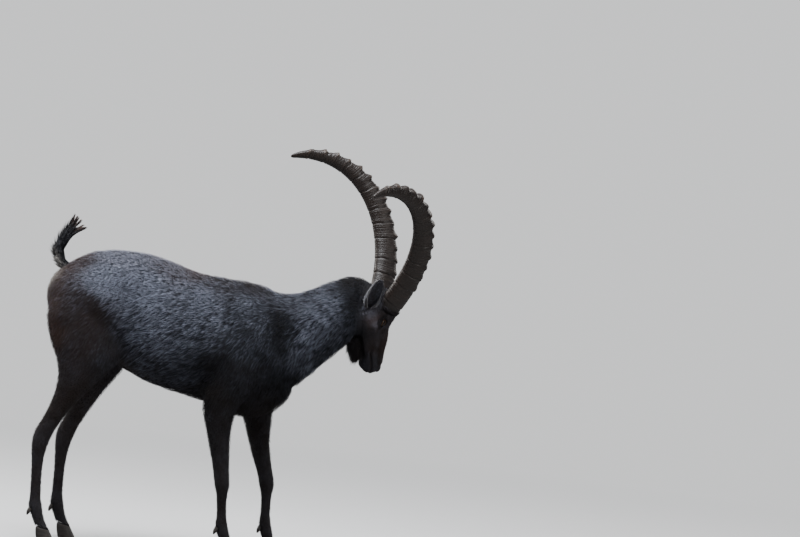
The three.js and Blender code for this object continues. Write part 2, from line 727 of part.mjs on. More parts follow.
const head = headSolid();
const headGrown = joined([
  solidOf(skullForm(GAP)),
  ...[-1, 1].map((side) => browPad(side, GAP)),
  ...[-1, 1].map((side) => {
    const [x, y, z] = EAR_PAD;
    return solidOf(ball(x, y * side, z, ...EAR_PAD_SIZE.map((size) => size + GAP), 12, 7));
  }),
]);
const besideNeck = joined([
  headGrown,
  ...[-1, 1].map((side) => solidOf(hornForm(side, GAP))),
  ...[-1, 1].map((side) => earLeaf(side, -GAP, 0, 0)),
]);
const roomForHead = besideNeck.transform(headPlace.toArray());
addMesh("neck", largest(keep(body, neckNormal, NECK_CUT_TOP).subtract(roomForHead)), COAT);

const tail = largest(tailSolid().subtract(trunkGrown));
addMesh("tail", tail, TAIL_BLACK);

const headGroup = new THREE.Group();
headGroup.applyMatrix4(headPlace);
model.add(headGroup);
addMesh("head", head, COAT_HEAD, 0.85, headGroup);
const besideBeard = joined([headGrown, neckGrown.transform(headPlace.clone().invert().toArray())]);
addMesh("beard", largest(beardSolid().subtract(besideBeard)), COAT_DARK, 0.9, headGroup);
for (const side of [-1, 1]) {
  const place = side > 0 ? "left" : "right";
  const [x, y, z] = EYE_CENTRE;
  const eye = solidOf(ball(x, y * side, z, EYE_RADIUS, EYE_RADIUS, EYE_RADIUS, 12, 8));
  addMesh("eye_" + place, eye, EYE_AMBER, 0.1, headGroup);
  addMesh("horn_" + place, largest(solidOf(hornForm(side)).subtract(headGrown)), HORN_BROWN, 0.55, headGroup);
  const ear = earSolid(side).subtract(headGrown).subtract(solidOf(hornForm(side, GAP)));
  addMesh("ear_" + place, largest(ear), COAT_EAR, 0.85, headGroup);
}

// The origin is on the floor, under the middle of the model's box.
const box = new THREE.Box3().setFromObject(model, true);
const middle = box.getCenter(vec(0, 0, 0));
model.position.set(-middle.x, -middle.y, -box.min.z);

const part = new THREE.Group();
part.add(model);

export default part;
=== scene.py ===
"""A life-size alpine ibex, dressed over its solids: skin, coat, horns, ears, eyes, hooves and stage."""

import math
from contextlib import contextmanager

import bmesh
import bpy
import numpy as np
from mathutils import Matrix, Vector
from mathutils.bvhtree import BVHTree
from mathutils.kdtree import KDTree


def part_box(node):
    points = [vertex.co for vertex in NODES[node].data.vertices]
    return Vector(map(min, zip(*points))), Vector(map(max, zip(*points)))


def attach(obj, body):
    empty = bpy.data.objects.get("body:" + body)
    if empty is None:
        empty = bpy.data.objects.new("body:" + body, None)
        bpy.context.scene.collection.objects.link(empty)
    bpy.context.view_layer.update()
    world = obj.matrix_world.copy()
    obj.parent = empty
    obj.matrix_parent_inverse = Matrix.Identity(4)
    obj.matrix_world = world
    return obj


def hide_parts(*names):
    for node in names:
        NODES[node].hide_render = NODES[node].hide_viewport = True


bl_info = {
    "name": "Alpine Ibex",
    "version": (1, 0, 0),
    "blender": (4, 5, 0),
    "location": "View3D > Sidebar > Ibex",
    "description": "Builds the skin, coat, horns, ears, eyes and hooves of a life-size alpine ibex",
    "category": "Object",
}

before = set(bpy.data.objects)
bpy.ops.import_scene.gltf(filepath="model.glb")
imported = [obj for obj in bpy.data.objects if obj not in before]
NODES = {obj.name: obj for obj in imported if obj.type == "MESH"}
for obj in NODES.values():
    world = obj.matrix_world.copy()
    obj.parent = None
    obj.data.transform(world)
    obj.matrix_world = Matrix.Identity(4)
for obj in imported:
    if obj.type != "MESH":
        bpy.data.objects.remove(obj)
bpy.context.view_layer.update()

MM = 0.001
LEGS = ("fore_left", "fore_right", "hind_left", "hind_right")
SIDES = {"left": 1, "right": -1}

# The head's place in the body, as in its solids: millimetres from the body's own origin, degrees
HEAD_AT = np.array((355.7, 30.0, 811.2))
HEAD_PITCH, HEAD_YAW, HEAD_ROLL = 88.0, 26.7, 8.2

# Eyes: the left globe in the head's frame, how far the slit dips to the nose, half the lids' opening
EYE_CENTRE = np.array((-3.0, 46.0, -7.0))
EYE_RADIUS = 16.0
GAZE = np.array((0.22, 1.0, 0.12))
SLIT_TURN = 12.0
IRIS_ANGLE = 44.0
OPENING = (13.4, 8.6)

# The lids' section: how far outside the opening, and how far they stand out above and below, in mm
LID_SPREAD = (0, 0.8, 2.0, 4.4, 6.2, 7.2, 8.6, 10.4, 12.5)
LID_ABOVE = (0.4, 1.7, 2.5, 3.0, 2.4, 1.0, 2.2, 1.0, -1.6)
LID_BELOW = (0.4, 1.3, 1.9, 2.2, 1.7, 0.7, 1.4, 0.4, -1.6)

# The line between the lips: how far forwards, and how high, in the head's frame
MOUTH_AT = (94, 106, 130, 160, 186)
MOUTH_LEVEL = (-23, -28, -25, -22, -23)

# Horns: angles in degrees at the root and along them, half sizes at shares of the length, and knobs
HORN_LENGTH = 672.0
HORN_SPLAY = 24.3
HORN_LEAN = 62.5
HORN_SWEEP = (58.5, 79.0)
HORN_ROOT = np.array((-47.0, 38.0, 16.0))
HORN_SHARE = (0, 0.06, 0.2, 0.35, 0.5, 0.65, 0.78, 0.88, 0.95, 0.99, 1)
HORN_DEPTH = (37, 37, 36, 34.5, 31.5, 27, 22, 17, 11.5, 6.5, 3)
HORN_WIDTH = (31, 31, 29, 27, 24.5, 21, 17, 13, 9, 5, 2.5)
KNOBS = 14
KNOB_FIRST = 0.15
KNOB_PITCH = 0.0575
USUAL_KNOB_RISE = 0.008
HORN_AROUND = 48
HORN_RINGS = 640

# Ears: how they lie in the head's frame, and half their width at shares of the length
EAR_LENGTH = 112.0
EAR_ROOT = np.array((-53.0, 46.0, -58.0))
EAR_ALONG = {"right": (-0.84, 0.53, 0.11), "left": (-0.32, 0.94, -0.1)}
EAR_OPEN = (0.42, 0.8, -0.26)
EAR_SHARE = (0, 0.12, 0.3, 0.5, 0.7, 0.87, 0.97, 1)
EAR_HALF = (12, 15, 19.5, 21.5, 19, 12.5, 6, 2)
EAR_ROWS = 44
EAR_COLUMNS = 36

# Tail: its middle, and where the locks of its tip end, in the body's plane
TAIL_PATH = ((-632, 862), (-662, 884), (-679, 916), (-672, 950), (-655, 982), (-644, 1000))
TAIL_TIPS = ((-637, 1047), (-621, 1035), (-599, 1011))

# Guides of the coat on the body: the place (x, distance from the middle, z) in mm, the lie of the
# hair (x, outwards, z), its length in mm, how pale it is and how rusty. How pale it is holds the
# hair's own tone together with painted top light: paler high on the back and flanks, darker low on
# the chest and belly.
BODY_GUIDES = {
    "rump_top": ((-610, 40, 905), (-0.95, 0.1, -0.3), 19, 0.52, 0.5),
    "croup": ((-490, 40, 945), (-1, 0.15, -0.05), 22, 0.95, 0.16),
    "loins": ((-300, 40, 925), (-1, 0.2, -0.1), 22, 0.7, 0.28),
    "back": ((-150, 40, 893), (-1, 0.2, -0.1), 22, 0.5, 0.15),
    "spine": ((-220, 0, 905), (-1, 0, -0.05), 22, 0.42, 0.45),
    "withers": ((-20, 30, 885), (-1, 0.1, -0.2), 25, 0.3, 0.15),
    "shoulder_top": ((-40, 110, 800), (-0.85, 0, -0.55), 22, 0.46, 0),
    "shoulder_edge": ((70, 100, 760), (-0.7, 0, -0.7), 23, 0.26, 0),
    "shoulder": ((-40, 130, 700), (-0.6, 0, -0.8), 20, 0.34, 0),
    "upper_arm": ((-60, 140, 600), (-0.35, 0, -0.95), 17, 0.16, 0.05),
    "elbow": ((-140, 130, 510), (-0.35, 0, -0.95), 20, 0.08, 0.1),
    "ribs_high": ((-200, 140, 830), (-0.95, 0.1, -0.35), 24, 0.78, 0),
    "ribs": ((-220, 165, 710), (-0.9, 0, -0.45), 24, 0.6, 0),
    "ribs_low": ((-220, 140, 570), (-0.92, -0.1, -0.3), 25, 0.44, 0),
    "belly": ((-220, 30, 490), (-1, 0, 0), 26, 0.06, 0.1),
    "flank_high": ((-380, 140, 850), (-0.93, 0, -0.35), 23, 1.05, 0),
    "flank": ((-380, 150, 730), (-0.9, 0, -0.45), 24, 0.75, 0),
    "flank_low": ((-400, 130, 600), (-0.75, 0, -0.6), 24, 0.46, 0.05),
    "hip": ((-520, 125, 860), (-0.85, 0, -0.5), 20, 1.05, 0),
    "haunch": ((-590, 130, 750), (-0.7, 0, -0.7), 19, 0.36, 0.34),
    "thigh": ((-570, 135, 640), (-0.5, 0, -0.85), 17, 0.24, 0.28),
    "buttock": ((-695, 50, 790), (-0.3, 0.1, -1), 20, 0.62, 0.8),
    "thigh_back": ((-670, 90, 680), (-0.25, 0, -1), 18, 0.25, 0.7),
    "groin": ((-450, 60, 570), (-0.6, 0, -0.8), 16, 0.2, 0.2),
    "stifle": ((-470, 120, 600), (-0.35, 0, -0.95), 16, 0.24, 0.1),
    "gaskin": ((-590, 115, 500), (-0.4, 0, -0.9), 12, 0.12, 0.2),
    "hock": ((-660, 105, 350), (-0.05, 0, -1), 8, 0.11, 0.15),
    "hind_cannon": ((-672, 100, 230), (0, 0, -1), 6.5, 0.11, 0.15),
    "hind_pastern": ((-655, 100, 90), (0.3, 0, -0.95), 7, 0.11, 0.1),
    "forearm": ((-110, 115, 430), (-0.1, 0, -1), 12, 0.11, 0.1),
    "forearm_step": ((20, 115, 430), (-0.1, 0, -1), 12, 0.11, 0.1),
    "knee": ((-85, 100, 250), (0, 0, -1), 6.5, 0.11, 0.1),
    "knee_step": ((50, 100, 250), (0, 0, -1), 6.5, 0.11, 0.1),
    "fore_cannon": ((0, 100, 160), (0, 0, -1), 6, 0.11, 0.1),
    "fore_pastern": ((20, 100, 80), (0.35, 0, -0.95), 7, 0.11, 0.1),
    "brisket": ((50, 40, 470), (-0.35, 0, -0.95), 25, 0.05, 0.1),
    "chest": ((112, 40, 600), (-0.15, 0.1, -1), 24, 0.14, 0),
    "neck_base": ((60, 30, 850), (-0.93, 0, -0.3), 26, 0.52, 0.05),
    "nape": ((190, 20, 915), (-0.9, 0, -0.4), 26, 0.56, 0.05),
    "neck_high": ((210, 70, 850), (-0.85, 0, -0.5), 25, 0.74, 0),
    "neck_side": ((170, 85, 760), (-0.75, 0, -0.65), 24, 0.76, 0),
    "neck_low": ((130, 60, 650), (-0.5, 0, -0.85), 26, 0.48, 0),
    "throat": ((235, 20, 700), (-0.6, 0, -0.8), 25, 0.3, 0),
    "neck_end": ((275, 70, 800), (-0.8, 0, -0.6), 20, 0.44, 0),
    "poll": ((270, 30, 935), (-0.95, 0, -0.1), 17, 0.08, 0.05),
    "poll_side": ((295, 60, 880), (-0.9, 0, -0.35), 16, 0.14, 0),
}

# The same on the head, in its own frame: towards the nose, outwards, towards the forehead
HEAD_GUIDES = {
    "forehead": ((-5, 0, 50), (-1, 0, 0.1), 8, 0.12, 0.2),
    "brow": ((-10, 40, 34), (-1, 0.2, 0), 7, 0.2, 0.1),
    "bridge": ((60, 0, 36), (-1, 0.05, 0), 4.2, 0.12, 0.35),
    "nose": ((130, 0, 26), (-1, 0.1, 0), 2.6, 0.04, 0.1),
    "nostril": ((160, 18, 4), (-1, 0.3, -0.1), 2.0, 0.05, 0.05),
    "lip": ((150, 28, -14), (-0.95, 0, -0.2), 2.4, 0.08, 0.05),
    "chin": ((140, 10, -46), (-0.9, 0, -0.3), 4, 0.04, 0),
    "cheek_front": ((80, 36, -12), (-0.95, 0, -0.3), 3.8, 0.12, 0.2),
    "under_eye": ((6, 50, -27), (-0.95, 0.1, -0.35), 4, 0.4, 0.25),
    "above_eye": ((-21, 45, 14), (-0.95, 0.2, -0.1), 5, 0.26, 0.2),
    "cheek_patch": ((-25, 50, -44), (-0.95, 0.1, -0.3), 6.5, 0.5, 0.2),
    "temple": ((-54, 50, -26), (-0.9, 0.1, -0.4), 9, 0.1, 0.05),
    "cheek": ((24, 46, -56), (-0.85, 0, -0.55), 6, 0.14, 0.1),
    "jaw": ((-24, 50, -84), (-0.8, 0, -0.6), 12, 0.42, 0.05),
    "jaw_under": ((40, 15, -68), (-0.85, 0, -0.5), 8, 0.08, 0),
    "gullet": ((-20, 10, -90), (-0.75, 0, -0.65), 16, 0.2, 0),
    "crown": ((-85, 0, 40), (-1, 0, -0.2), 14, 0.06, 0.05),
    "horn_back": ((-90, 40, 0), (-0.95, 0.1, -0.3), 14, 0.1, 0),
}

# Swellings and hollows of the body under the coat, on both sides: rise and reach in mm, and place
BODY_FORMS = {
    "shoulder_blade": (7, 62, (-25, 118, 770)),
    "blade_ridge": (4, 40, (-60, 108, 830)),
    "behind_shoulder": (-7, 55, (-135, 140, 740)),
    "upper_arm": (6, 55, (-70, 140, 620)),
    "elbow": (7, 30, (-150, 130, 530)),
    "armpit": (-6, 42, (-175, 130, 560)),
    "point_of_shoulder": (8, 42, (60, 95, 640)),
    "before_shoulder": (-9, 50, (95, 80, 740)),
    "ribs": (5, 110, (-260, 160, 700)),
    "hollow_flank": (-9, 48, (-425, 140, 790)),
    "hip_bone": (8, 34, (-470, 105, 890)),
    "haunch": (6, 70, (-570, 130, 790)),
    "flank_fold": (-8, 36, (-448, 130, 650)),
    "stifle": (6, 34, (-478, 120, 610)),
    "ham": (5, 45, (-665, 95, 730)),
    "thigh_groove": (-5, 30, (-632, 135, 690)),
    "neck_groove": (-5, 40, (190, 78, 720)),
    "neck_muscle": (5, 60, (180, 82, 810)),
}

# Ridges and grooves of the face, on both sides: rise and reach in mm, and where each starts and ends. Their
# rises also lighten the ridges and darken the grooves and nostrils of the coat, as painted light and shade
FACE_LINES = {
    "cheekbone": (4.2, 7, (16, 54, -27), (80, 38, -12)),
    "under_cheekbone": (-4.4, 9, (26, 46, -44), (92, 33, -28)),
    "cheek_muscle": (3.4, 20, (-8, 52, -50), (10, 50, -56)),
    "jaw_edge": (2.8, 8, (-22, 42, -88), (106, 22, -52)),
    "jaw_angle": (3.4, 8, (-34, 50, -58), (-30, 44, -84)),
    "behind_jaw": (-5.5, 13, (-56, 48, -70), (-50, 40, -92)),
    "tear_groove": (-3.0, 4.5, (16, 50, -17), (44, 43, -22)),
    "before_eye": (-3.6, 9, (22, 47, -2), (34, 43, 0)),
    "brow": (3.6, 6.5, (-26, 52, 14), (14, 46, 12)),
    "above_brow": (-2.8, 9, (-14, 38, 32), (20, 34, 26)),
    "nose_bone": (2.6, 6, (44, 25, 29), (140, 21, 20)),
    "nose_side": (-3.0, 8, (66, 35, 4), (142, 30, 0)),
    "nose_groove": (-1.8, 7, (-4, 0, 50), (120, 0, 27)),
    "upper_lip": (2.2, 8, (112, 32, -15), (158, 27, -13)),
    "lower_lip": (1.4, 6, (108, 28, -34), (156, 20, -34)),
    "chin": (2.2, 12, (134, 8, -46), (146, 8, -44)),
    "nostril": (-6.5, 3.2, (172, 13, 1), (163, 22, 8)),
    "nostril_wing": (2.2, 4.5, (168, 21, -1), (157, 27, 6)),
    "nostril_top": (1.8, 4.5, (170, 8, 8), (154, 17, 15)),
    "horn_seat": (2.4, 14, (-26, 20, 52), (-10, 30, 42)),
}

# Patches and bands of the coat's tone, rust and white: how much, reach in mm, and place or both ends
HEAD_TONES = {
    "cheek_patch": (0.62, 15, (-27, 52, -44)),
    "under_eye": (0.55, 12, (2, 52, -31)),
    "behind_eye": (0.2, 18, (-58, 50, -20)),
    "eye_corner": (-0.12, 13, (-6, 55, 6)),
}
# Painted light and shade on the body: shade in the creases before the shoulder, behind the elbow and before
# the thigh, and light on the shoulder's crest and the side of the neck
BODY_PAINTED_LIGHT_AND_SHADE = {
    "before_shoulder": (-0.24, 24, (50, 105, 830), (64, 100, 690)),
    "behind_elbow": (-0.14, 60, (-150, 150, 640)),
    "before_thigh": (-0.26, 26, (-552, 135, 800), (-420, 130, 580)),
    "shoulder_crest": (0.2, 40, (-60, 100, 840)),
    "neck_side": (0.12, 34, (110, 80, 860), (130, 90, 740)),
}
HEAD_RUST = {
    "nose": (0.4, 16, (30, 20, 34), (130, 16, 26)),
    "cheek": (0.5, 26, (-10, 52, -38)),
}
BODY_RUST = {"tail_root": (0.45, 42, (-655, 20, 872))}
WHITES = {
    "under_tail": (0.95, 34, (-704, 26, 842)),
    "tail_root": (0.5, 18, (-664, 30, 872)),
}

# How close the tufts of each coat piece are set, how wide they are in mm, and the most in a piece
COAT_PIECES = {
    "coat_head": (3.1, 1.0),
    "coat_neck": (1.3, 1.9),
    "coat_shoulders": (1.15, 1.9),
    "coat_ribs": (1.0, 2.1),
    "coat_rump": (1.05, 1.9),
    "coat_belly": (0.8, 2.1),
    "coat_fore_legs": (1.7, 1.4),
    "coat_hind_legs": (1.5, 1.4),
}
MOST_TUFTS = 18200

# The hair of the ears: how many, length and width in mm, tone, white, and the face they grow on
EAR_HAIR = {
    "back": (4200, 7.0, 1.1, 0.42, 0.02, -1),
    "rim": (1300, 6.0, 0.8, 0.6, 0.3, 0),
    "cup": (900, 18.0, 0.85, 0.8, 0.3, 1),
}

# How wide a tuft's patch is on its bake map
PATCH = 0.003
# How far from a solid its nearness to the skin is looked for
NEAR = 0.02
# The size of the claws' faces
CLAW_GRAIN = 0.0018
# The colour of the surround behind the animal, and the place the camera looks at, in the body's mm
SURROUND = (0.92, 0.93, 0.94)
CAMERA_AIM = (411.7, 0, 981.2)

# The lights: place, what they point at, size, power in watts and colour
ANIMAL = (0.0, 0.1, 0.8)
LIGHTS = {
    "overhead": ((-1.2, -0.9, 4.4), ANIMAL, (2.6, 2.6), 290, (0.93, 0.96, 1.0)),
    "behind_left": ((-3.4, 2.6, 2.6), ANIMAL, (1.6, 2.0), 110, (1.0, 0.97, 0.93)),
    "behind_right": ((3.0, 3.0, 2.6), ANIMAL, (1.8, 2.4), 60, (1.0, 0.97, 0.93)),
    "front_right": ((3.0, -2.8, 1.4), ANIMAL, (1.8, 1.8), 42, (1.0, 0.98, 0.95)),
    "floor_wash": ((0.0, 0.5, 6.5), (0.0, 0.5, 0.0), (7.0, 7.0), 260, (1.0, 1.0, 1.0)),
}


# Places and frames
def turned(axis, degrees):
    return np.array(Matrix.Rotation(math.radians(degrees), 3, axis))


HEAD_TURN = turned("X", HEAD_ROLL) @ turned("Z", HEAD_YAW) @ turned("Y", HEAD_PITCH)


def mirrored(vector, side):
    return np.array(vector, float) * (1, side, 1)


def body_origin():
    """Where the body's own origin lies in the frame, found from the right eye's solid."""
    eye = np.mean([vert.co[:] for vert in NODES["eye_right"].data.vertices], axis=0)
    return eye - (HEAD_AT + HEAD_TURN @ mirrored(EYE_CENTRE, -1)) * MM


ORIGIN = body_origin()


def to_body(points):
    return (points - ORIGIN) / MM


def from_body(points):
    return np.asarray(points, float) * MM + ORIGIN


def to_head(points):
    return (to_body(points) - HEAD_AT) @ HEAD_TURN


def from_head(points):
    return from_body(np.asarray(points, float) @ HEAD_TURN.T + HEAD_AT)


# Numbers
def ease(value, low, high):
    share = np.clip((value - low) / (high - low), 0, 1)
    return share * share * (3 - 2 * share)


def unit(vectors):
    length = np.linalg.norm(vectors, axis=-1, keepdims=True)
    return vectors / np.maximum(length, 1e-12)


def folded(points):
    """The points, with those of the right half mirrored to the left."""
    return np.column_stack((points[:, 0], np.abs(points[:, 1]), points[:, 2]))


def columns(*values):
    """Rows of numbers from columns, each of them an array or one number for all rows."""
    count = max(np.size(value) for value in values)
    return np.column_stack([np.broadcast_to(value, count) for value in values])


def ripple(points, size, seed):
    """A smooth uneven value from -1 to 1 that changes over about a given size, in points' own unit."""
    rng = np.random.default_rng(seed)
    total = np.zeros(len(points))
    for _ in range(5):
        way = unit(rng.normal(size=3)) * rng.uniform(0.7, 1.6) * 2 * math.pi / size
        total += np.sin(points @ way + rng.uniform(0, 6.3))
    return np.clip(total / 2.6, -1, 1)


# Meshes
def linked(name, data):
    """A new object in the scene."""
    obj = bpy.data.objects.new(name, data)
    bpy.context.scene.collection.objects.link(obj)
    return obj


def from_bmesh(bm, name):
    mesh = bpy.data.meshes.new(name)
    bm.to_mesh(mesh)
    bm.free()
    mesh.shade_smooth()
    return linked(name, mesh)


@contextmanager
def edited(mesh):
    """A bmesh of the mesh, written back to it at the end."""
    bm = bmesh.new()
    bm.from_mesh(mesh)
    yield bm
    bm.to_mesh(mesh)
    bm.free()


def sheet(across, along):
    """A flat grid, and each point's share across and along it."""
    bm = bmesh.new()
    bmesh.ops.create_grid(bm, x_segments=across, y_segments=along, size=0.5)
    bm.verts.ensure_lookup_table()
    flat = np.array([vert.co for vert in bm.verts])
    return bm, flat[:, 0] + 0.5, flat[:, 1] + 0.5


def laid(bm, points, attribute, rows):
    """The sheet's points moved to their places, with a colour attribute's four numbers for each."""
    layer = bm.verts.layers.float_color.new(attribute)
    for vert, point, row in zip(bm.verts, points, rows):
        vert.co = point
        vert[layer] = row


def tube(bm, name, gap):
    """The rolled sheet joined along its side and filled at both ends."""
    bmesh.ops.remove_doubles(bm, verts=bm.verts, dist=gap)
    bmesh.ops.holes_fill(bm, edges=[edge for edge in bm.edges if edge.is_boundary])
    bmesh.ops.recalc_face_normals(bm, faces=bm.faces)
    return from_bmesh(bm, name)


def shell(bm, name, thickness, levels=0):
    """The bent sheet joined where it meets itself, thickened and rounded."""
    bmesh.ops.remove_doubles(bm, verts=bm.verts, dist=1e-6)
    obj = from_bmesh(bm, name)
    wall = obj.modifiers.new("wall", "SOLIDIFY")
    wall.thickness = thickness
    wall.offset = 0
    if levels:
        rounded = obj.modifiers.new("round", "SUBSURF")
        rounded.levels = levels
        rounded.render_levels = levels
    finished(obj)
    with edited(obj.data) as bm:
        bmesh.ops.recalc_face_normals(bm, faces=bm.faces)
    return obj


def copied(names, label):
    """One mesh object with copies of some of the solids, each merged."""
    bm = bmesh.new()
    for name in names:
        bm.from_mesh(NODES[name].data)
    bmesh.ops.remove_doubles(bm, verts=bm.verts, dist=1e-6)
    return from_bmesh(bm, label)


def finished(obj):
    """The object's modifiers made part of its mesh."""
    graph = bpy.context.evaluated_depsgraph_get()
    mesh = bpy.data.meshes.new_from_object(obj.evaluated_get(graph))
    obj.modifiers.clear()
    old = obj.data
    obj.data = mesh
    bpy.data.meshes.remove(old)
    mesh.shade_smooth()
    return obj


def read(items, field, width, kind=float):
    """One field of each of a mesh's items, as rows of numbers."""
    flat = np.empty(len(items) * width, np.int32 if kind is int else np.float32)
    items.foreach_get(field, flat)
    return flat.reshape(-1, width).astype(kind)


def places(mesh):
    return read(mesh.vertices, "co", 3)


def set_places(mesh, points):
    mesh.vertices.foreach_set("co", np.asarray(points, np.float32).ravel())
    mesh.update()


def normals(mesh):
    return read(mesh.vertex_normals, "vector", 3)


def triangles(mesh):
    """The points and the loops of each triangle."""
    mesh.calc_loop_triangles()
    return read(mesh.loop_triangles, "vertices", 3, int), read(mesh.loop_triangles, "loops", 3, int)


def set_colour(mesh, name, values):
    """A colour attribute on the vertices, from columns of values."""
    layer = mesh.color_attributes.new(name, "FLOAT_COLOR", "POINT")
    rows = np.zeros((len(mesh.vertices), 4), np.float32)
    rows[:, 3] = 1
    rows[:, : values.shape[1]] = values
    layer.data.foreach_set("color", rows.ravel())


def from_arrays(name, points, faces, uvs):
    """A mesh object from arrays of points and triangles, with a UV for each point."""
    mesh = bpy.data.meshes.new(name)
    mesh.vertices.add(len(points))
    mesh.vertices.foreach_set("co", np.asarray(points, np.float32).ravel())
    corners = np.asarray(faces, np.int32).ravel()
    mesh.loops.add(len(corners))
    mesh.loops.foreach_set("vertex_index", corners)
    mesh.polygons.add(len(faces))
    mesh.polygons.foreach_set("loop_start", np.arange(0, len(corners), 3, dtype=np.int32))
    mesh.update(calc_edges=True)
    mesh.shade_smooth()
    layer = mesh.uv_layers.new(name="OFBake")
    layer.data.foreach_set("uv", np.asarray(uvs, np.float32)[corners].ravel())
    return linked(name, mesh)


def kept(obj, slot, *replaced):
    """The piece, made to ride on the body, with the solids that it stands for hidden; the slot is not used.
    """
    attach(obj, "root")
    if replaced:
        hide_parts(*replaced)
    return obj


# Settings that a user would change
class IbexSkinSettings(bpy.types.PropertyGroup):
    grain: bpy.props.FloatProperty(
        name="Grain", description="Size of the skin's first faces", default=0.0025, unit="LENGTH"
    )
    faces: bpy.props.IntProperty(
        name="Faces", description="Triangles kept in the skin", default=196000
    )
    depth: bpy.props.FloatProperty(
        name="Coat depth", description="Depth of the coat as a share of its length", default=0.38
    )


class IbexCoatSettings(bpy.types.PropertyGroup):
    tufts: bpy.props.IntProperty(
        name="Tufts", description="Tufts over the whole body", default=118000
    )
    dark: bpy.props.FloatVectorProperty(
        name="Dark",
        description="Colour of the dark hair",
        subtype="COLOR",
        default=(0.0105, 0.0098, 0.0102),
    )
    # The blue of the grey and the pale is partly painted sky light, and the palest tips are partly a
    # painted sheen
    grey: bpy.props.FloatVectorProperty(
        name="Grey", description="Colour of the middle tone", subtype="COLOR", default=(0.072, 0.077, 0.096)
    )
    pale: bpy.props.FloatVectorProperty(
        name="Pale", description="Colour of the palest tips", subtype="COLOR", default=(0.33, 0.355, 0.44)
    )
    rust: bpy.props.FloatVectorProperty(
        name="Rust",
        description="Colour of the red-brown hair",
        subtype="COLOR",
        default=(0.14, 0.072, 0.045),
    )
    white: bpy.props.FloatVectorProperty(
        name="White", description="Colour of the white hair", subtype="COLOR", default=(0.62, 0.58, 0.52)
    )


class IbexHornSettings(bpy.types.PropertyGroup):
    knob_rise: bpy.props.FloatProperty(
        name="Knob height",
        description="Height of the knobs on the front",
        default=USUAL_KNOB_RISE,
        unit="LENGTH",
    )
    brown: bpy.props.FloatVectorProperty(
        name="Brown", description="Colour of the horn", subtype="COLOR", default=(0.030, 0.0185, 0.0125)
    )
    # The rubbed colour, shown on the crests and more away from the root as painted sunlight
    worn: bpy.props.FloatVectorProperty(
        name="Worn",
        description="Colour where the horn is rubbed",
        subtype="COLOR",
        default=(0.18, 0.115, 0.078),
    )


class IbexEyeSettings(bpy.types.PropertyGroup):
    iris: bpy.props.FloatVectorProperty(
        name="Iris", description="Colour of the iris", subtype="COLOR", default=(0.085, 0.04, 0.015)
    )


class IbexStageSettings(bpy.types.PropertyGroup):
    distance: bpy.props.FloatProperty(
        name="Camera distance", description="From the camera to the animal", default=18.0, unit="LENGTH"
    )
    width: bpy.props.FloatProperty(
        name="Frame width", description="Width seen at the animal", default=2.56, unit="LENGTH"
    )
    elevation: bpy.props.FloatProperty(
        name="Elevation",
        description="Height of the view above level",
        default=math.radians(3),
        subtype="ANGLE",
    )
    roll: bpy.props.FloatProperty(
        name="Roll",
        description="Turn of the frame, for the slope of the ground in the view",
        default=math.radians(6),
        subtype="ANGLE",
    )
    floor: bpy.props.FloatVectorProperty(
        name="Floor", description="Colour of the floor", subtype="COLOR", default=(0.74, 0.74, 0.73)
    )


def settings(name):
    return getattr(bpy.context.scene, "ibex_" + name)


# Materials
class Wiring:
    """Short calls to add and join nodes in one tree."""

    def __init__(self, tree):
        self.tree = tree

    def node(self, kind, **values):
        made = self.tree.nodes.new("ShaderNode" + kind)
        for name, value in values.items():
            setattr(made, name, value)
        return made

    def join(self, source, target):
        self.tree.links.new(source, target)

    def put(self, value, socket):
        """A socket, a number or a colour given to another socket."""
        if isinstance(value, bpy.types.NodeSocket):
            self.join(value, socket)
        elif isinstance(value, (int, float)):
            socket.default_value = value
        else:
            socket.default_value = (*value, 1.0)

    def math(self, operation, first, second):
        made = self.node("Math", operation=operation)
        self.put(first, made.inputs[0])
        self.put(second, made.inputs[1])
        return made.outputs[0]

    def mix(self, share, first, second, blend="MIX"):
        made = self.node("Mix", data_type="RGBA", blend_type=blend)
        for slot, value in ((0, share), (6, first), (7, second)):
            self.put(value, made.inputs[slot])
        return made.outputs[2]

    def spread(self, value, low, high, new_low=0.0, new_high=1.0):
        made = self.node("MapRange", clamp=True)
        for slot, number in enumerate((value, low, high, new_low, new_high)):
            self.put(number, made.inputs[slot])
        return made.outputs[0]

    def noise(self, vector, scale, detail=3.0, roughness=0.55):
        made = self.node("TexNoise")
        values = {"Vector": vector, "Scale": scale, "Detail": detail, "Roughness": roughness}
        for name, value in values.items():
            self.put(value, made.inputs[name])
        return made.outputs["Fac"]

    def place(self):
        """The point's place in the object."""
        return self.node("TexCoord").outputs["Object"]

    def stretched(self, vector, scale):
        made = self.node("Mapping")
        self.join(vector, made.inputs["Vector"])
        made.inputs["Scale"].default_value = scale
        return made.outputs[0]

    def parts(self, attribute):
        """The red, green, blue and alpha of a colour attribute."""
        stored = self.node("Attribute", attribute_name=attribute)
        split = self.node("SeparateColor")
        self.join(stored.outputs["Color"], split.inputs[0])
        return (*split.outputs, stored.outputs["Alpha"])

    def blended(self, share, first, second, output):
        """Two shaders mixed by a share, as the output."""
        made = self.node("MixShader")
        for slot, source in enumerate((share, first.outputs[0], second.outputs[0])):
            self.join(source, made.inputs[slot])
        self.join(made.outputs[0], output.inputs[0])

    def bump(self, height, strength, distance, shader):
        made = self.node("Bump")
        made.inputs["Strength"].default_value = strength
        made.inputs["Distance"].default_value = distance
        self.join(height, made.inputs["Height"])
        self.join(made.outputs[0], shader.inputs["Normal"])


def new_material(name, roughness, specular):
    """A material with its wiring and its shader."""
    material = bpy.data.materials.new(name)
    material.use_nodes = True
    shader = material.node_tree.nodes["Principled BSDF"]
    shader.inputs["Roughness"].default_value = roughness
    shader.inputs["Specular IOR Level"].default_value = specular
    return material, Wiring(material.node_tree), shader


def material_of(name, make):
    """The material of that name, made where there is none yet."""
    return bpy.data.materials.get(name) or make(name)


